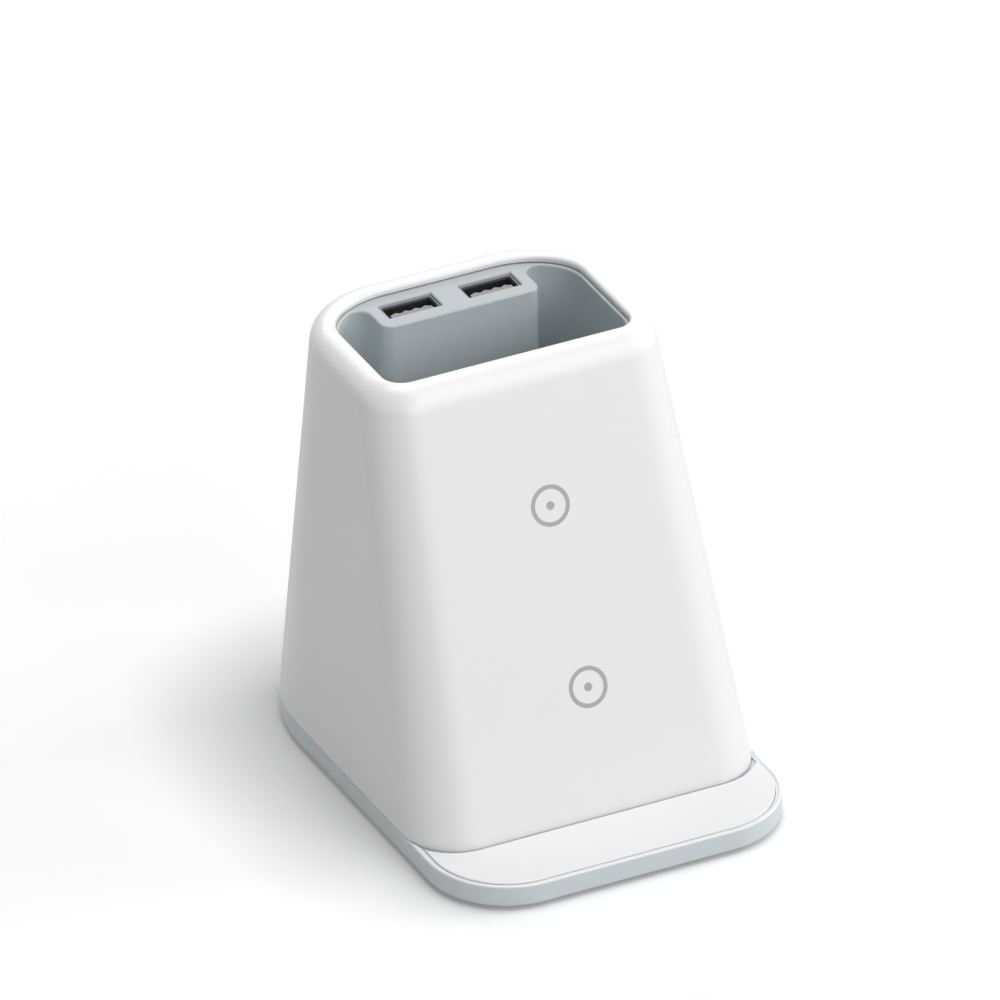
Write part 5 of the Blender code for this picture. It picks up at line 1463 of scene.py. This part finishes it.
def floor_and_backdrop():
    """Near the object the pale floor takes its real shadow, deepened by a painted soft shadow and lifted by a
    faint white glow; further away it is plain white.
    """
    mesh = bpy.data.meshes.new("studio_floor")
    sides = [(x * FLOOR_REACH, y * FLOOR_REACH, 0) for x, y in ((-1, -1), (1, -1), (1, 1), (-1, 1))]
    mesh.from_pydata(sides, [], [(0, 1, 2, 3)])
    floor = link("studio_floor", mesh)
    material = bpy.data.materials.new("white floor")
    material.use_nodes = True
    material.node_tree.nodes.clear()
    graph = Graph(material.node_tree)
    place = graph.node("ShaderNodeTexCoord", out="Object")
    away = graph.vector_node("LENGTH", place, out="Value")
    far = graph.clamped((away - FLOOR_NEAR) / FLOOR_FADE, FLOOR_LIFT)
    seen = graph.node("ShaderNodeLightPath", out="Is Camera Ray")
    facing = {"Distance": SHADE_REACH, "Normal": graph.vector_node("NORMALIZE", SHADE_SIDE)}
    # Painted shadow: an occlusion test that looks toward the lights darkens the floor's colour near the
    # object
    lit = graph.node("ShaderNodeAmbientOcclusion", {"samples": 12}, facing, "AO")
    painted_soft_shadow = graph.mix_colour(lit, grey(FLOOR_SHOWN * (1 - SHADE_DEPTH)), grey(FLOOR_SHOWN))
    paint = graph.mix_colour(seen, grey(FLOOR_BOUNCE), painted_soft_shadow)
    dull = {"Base Color": paint, "Roughness": 1.0, "Specular IOR Level": 0.0}
    matt = graph.node("ShaderNodeBsdfPrincipled", None, dull)
    white = graph.node("ShaderNodeEmission", None, {"Color": grey(1.0), "Strength": 1.0})
    # A faint white glow, at least FLOOR_LIFT, lightens the floor near the object; further out the floor is
    # all glow
    shown = graph.node("ShaderNodeMixShader", None, {0: far * seen, 1: matt, 2: white})
    graph.node("ShaderNodeOutputMaterial", None, {"Surface": shown})
    mesh.materials.append(material)


def world_light(level):
    """A plain even fill; what the camera and the gloss see of it is white."""
    world = bpy.data.worlds.new("studio")
    bpy.context.scene.world = world
    world.use_nodes = True
    world.node_tree.nodes.clear()
    graph = Graph(world.node_tree)
    camera = graph.node("ShaderNodeLightPath", out="Is Camera Ray")
    glossy = graph.other_output(camera, "Is Glossy Ray")
    through = graph.other_output(camera, "Is Transmission Ray")
    seen = graph.clamped(camera + glossy + through)
    strength = seen + (1 - seen) * level
    light = graph.node("ShaderNodeBackground", None, {"Color": grey(1.0), "Strength": strength})
    graph.node("ShaderNodeOutputWorld", None, {"Surface": light})


def softbox(name, place, size, power):
    data = bpy.data.lights.new(name, "AREA")
    data.shape, data.size, data.size_y, data.energy = "RECTANGLE", *size, power
    made = link(name, data)
    made.location = place
    made.rotation_euler = (Vector(LIGHTS_AIM) - Vector(place)).to_track_quat("-Z", "Y").to_euler()


def camera():
    """The photograph's camera: its bearing, height and roll, 5 m from the cup with a long lens."""
    azimuth, elevation, roll = map(math.radians, (-26.7319, 31.1415, -0.1334))
    turn = Matrix.Rotation(azimuth, 4, "Z") @ Matrix.Rotation(math.pi / 2 - elevation, 4, "X")
    turn = turn @ Matrix.Rotation(roll, 4, "Z")
    data = bpy.data.cameras.new("camera")
    data.lens, data.sensor_width, data.clip_start, data.clip_end = 801.275, 36, 0.1, 50
    made = link("camera", data)
    made.matrix_world = Matrix.Translation((-0.00635194, 0, 0.0707255)) @ turn @ Matrix.Translation((0, 0, 5))
    bpy.context.scene.camera = made


def studio():
    floor_and_backdrop()
    world_light(0.17)
    softbox("key", (1.1, -1.7, 1.6), (1.2, 1.2), 9.8)
    softbox("front", (0.1, -2.3, 1.1), (1.4, 1.0), 11.6)
    softbox("top", (0.1, 0.1, 2.4), (1.6, 1.6), 33.0)
    softbox("right", (2.3, -0.4, 1.0), (1.2, 1.2), 23.4)
    softbox("back", (0.2, 2.3, 1.4), (1.6, 1.0), 16.5)
    camera()
    bpy.context.scene.view_settings.view_transform = "Standard"


def main():
    for old in ("Cube", "Light", "Camera"):
        if old in bpy.data.objects:
            bpy.data.objects.remove(bpy.data.objects[old])
    outer_shell()
    cup_liner()
    base_tray()
    ledge_plate()
    contacts = contacts_rule()
    for side in ("left", "right"):
        usb_shell(side)
        usb_tongue(side, contacts)
    power_inlet(contacts)
    coil_marks()
    screws_everywhere()
    windings_and_leads()
    chips()
    inductor()
    ceramic_capacitors()
    bulk_capacitor()
    headers(contacts)
    carried_over()
    studio()


main()
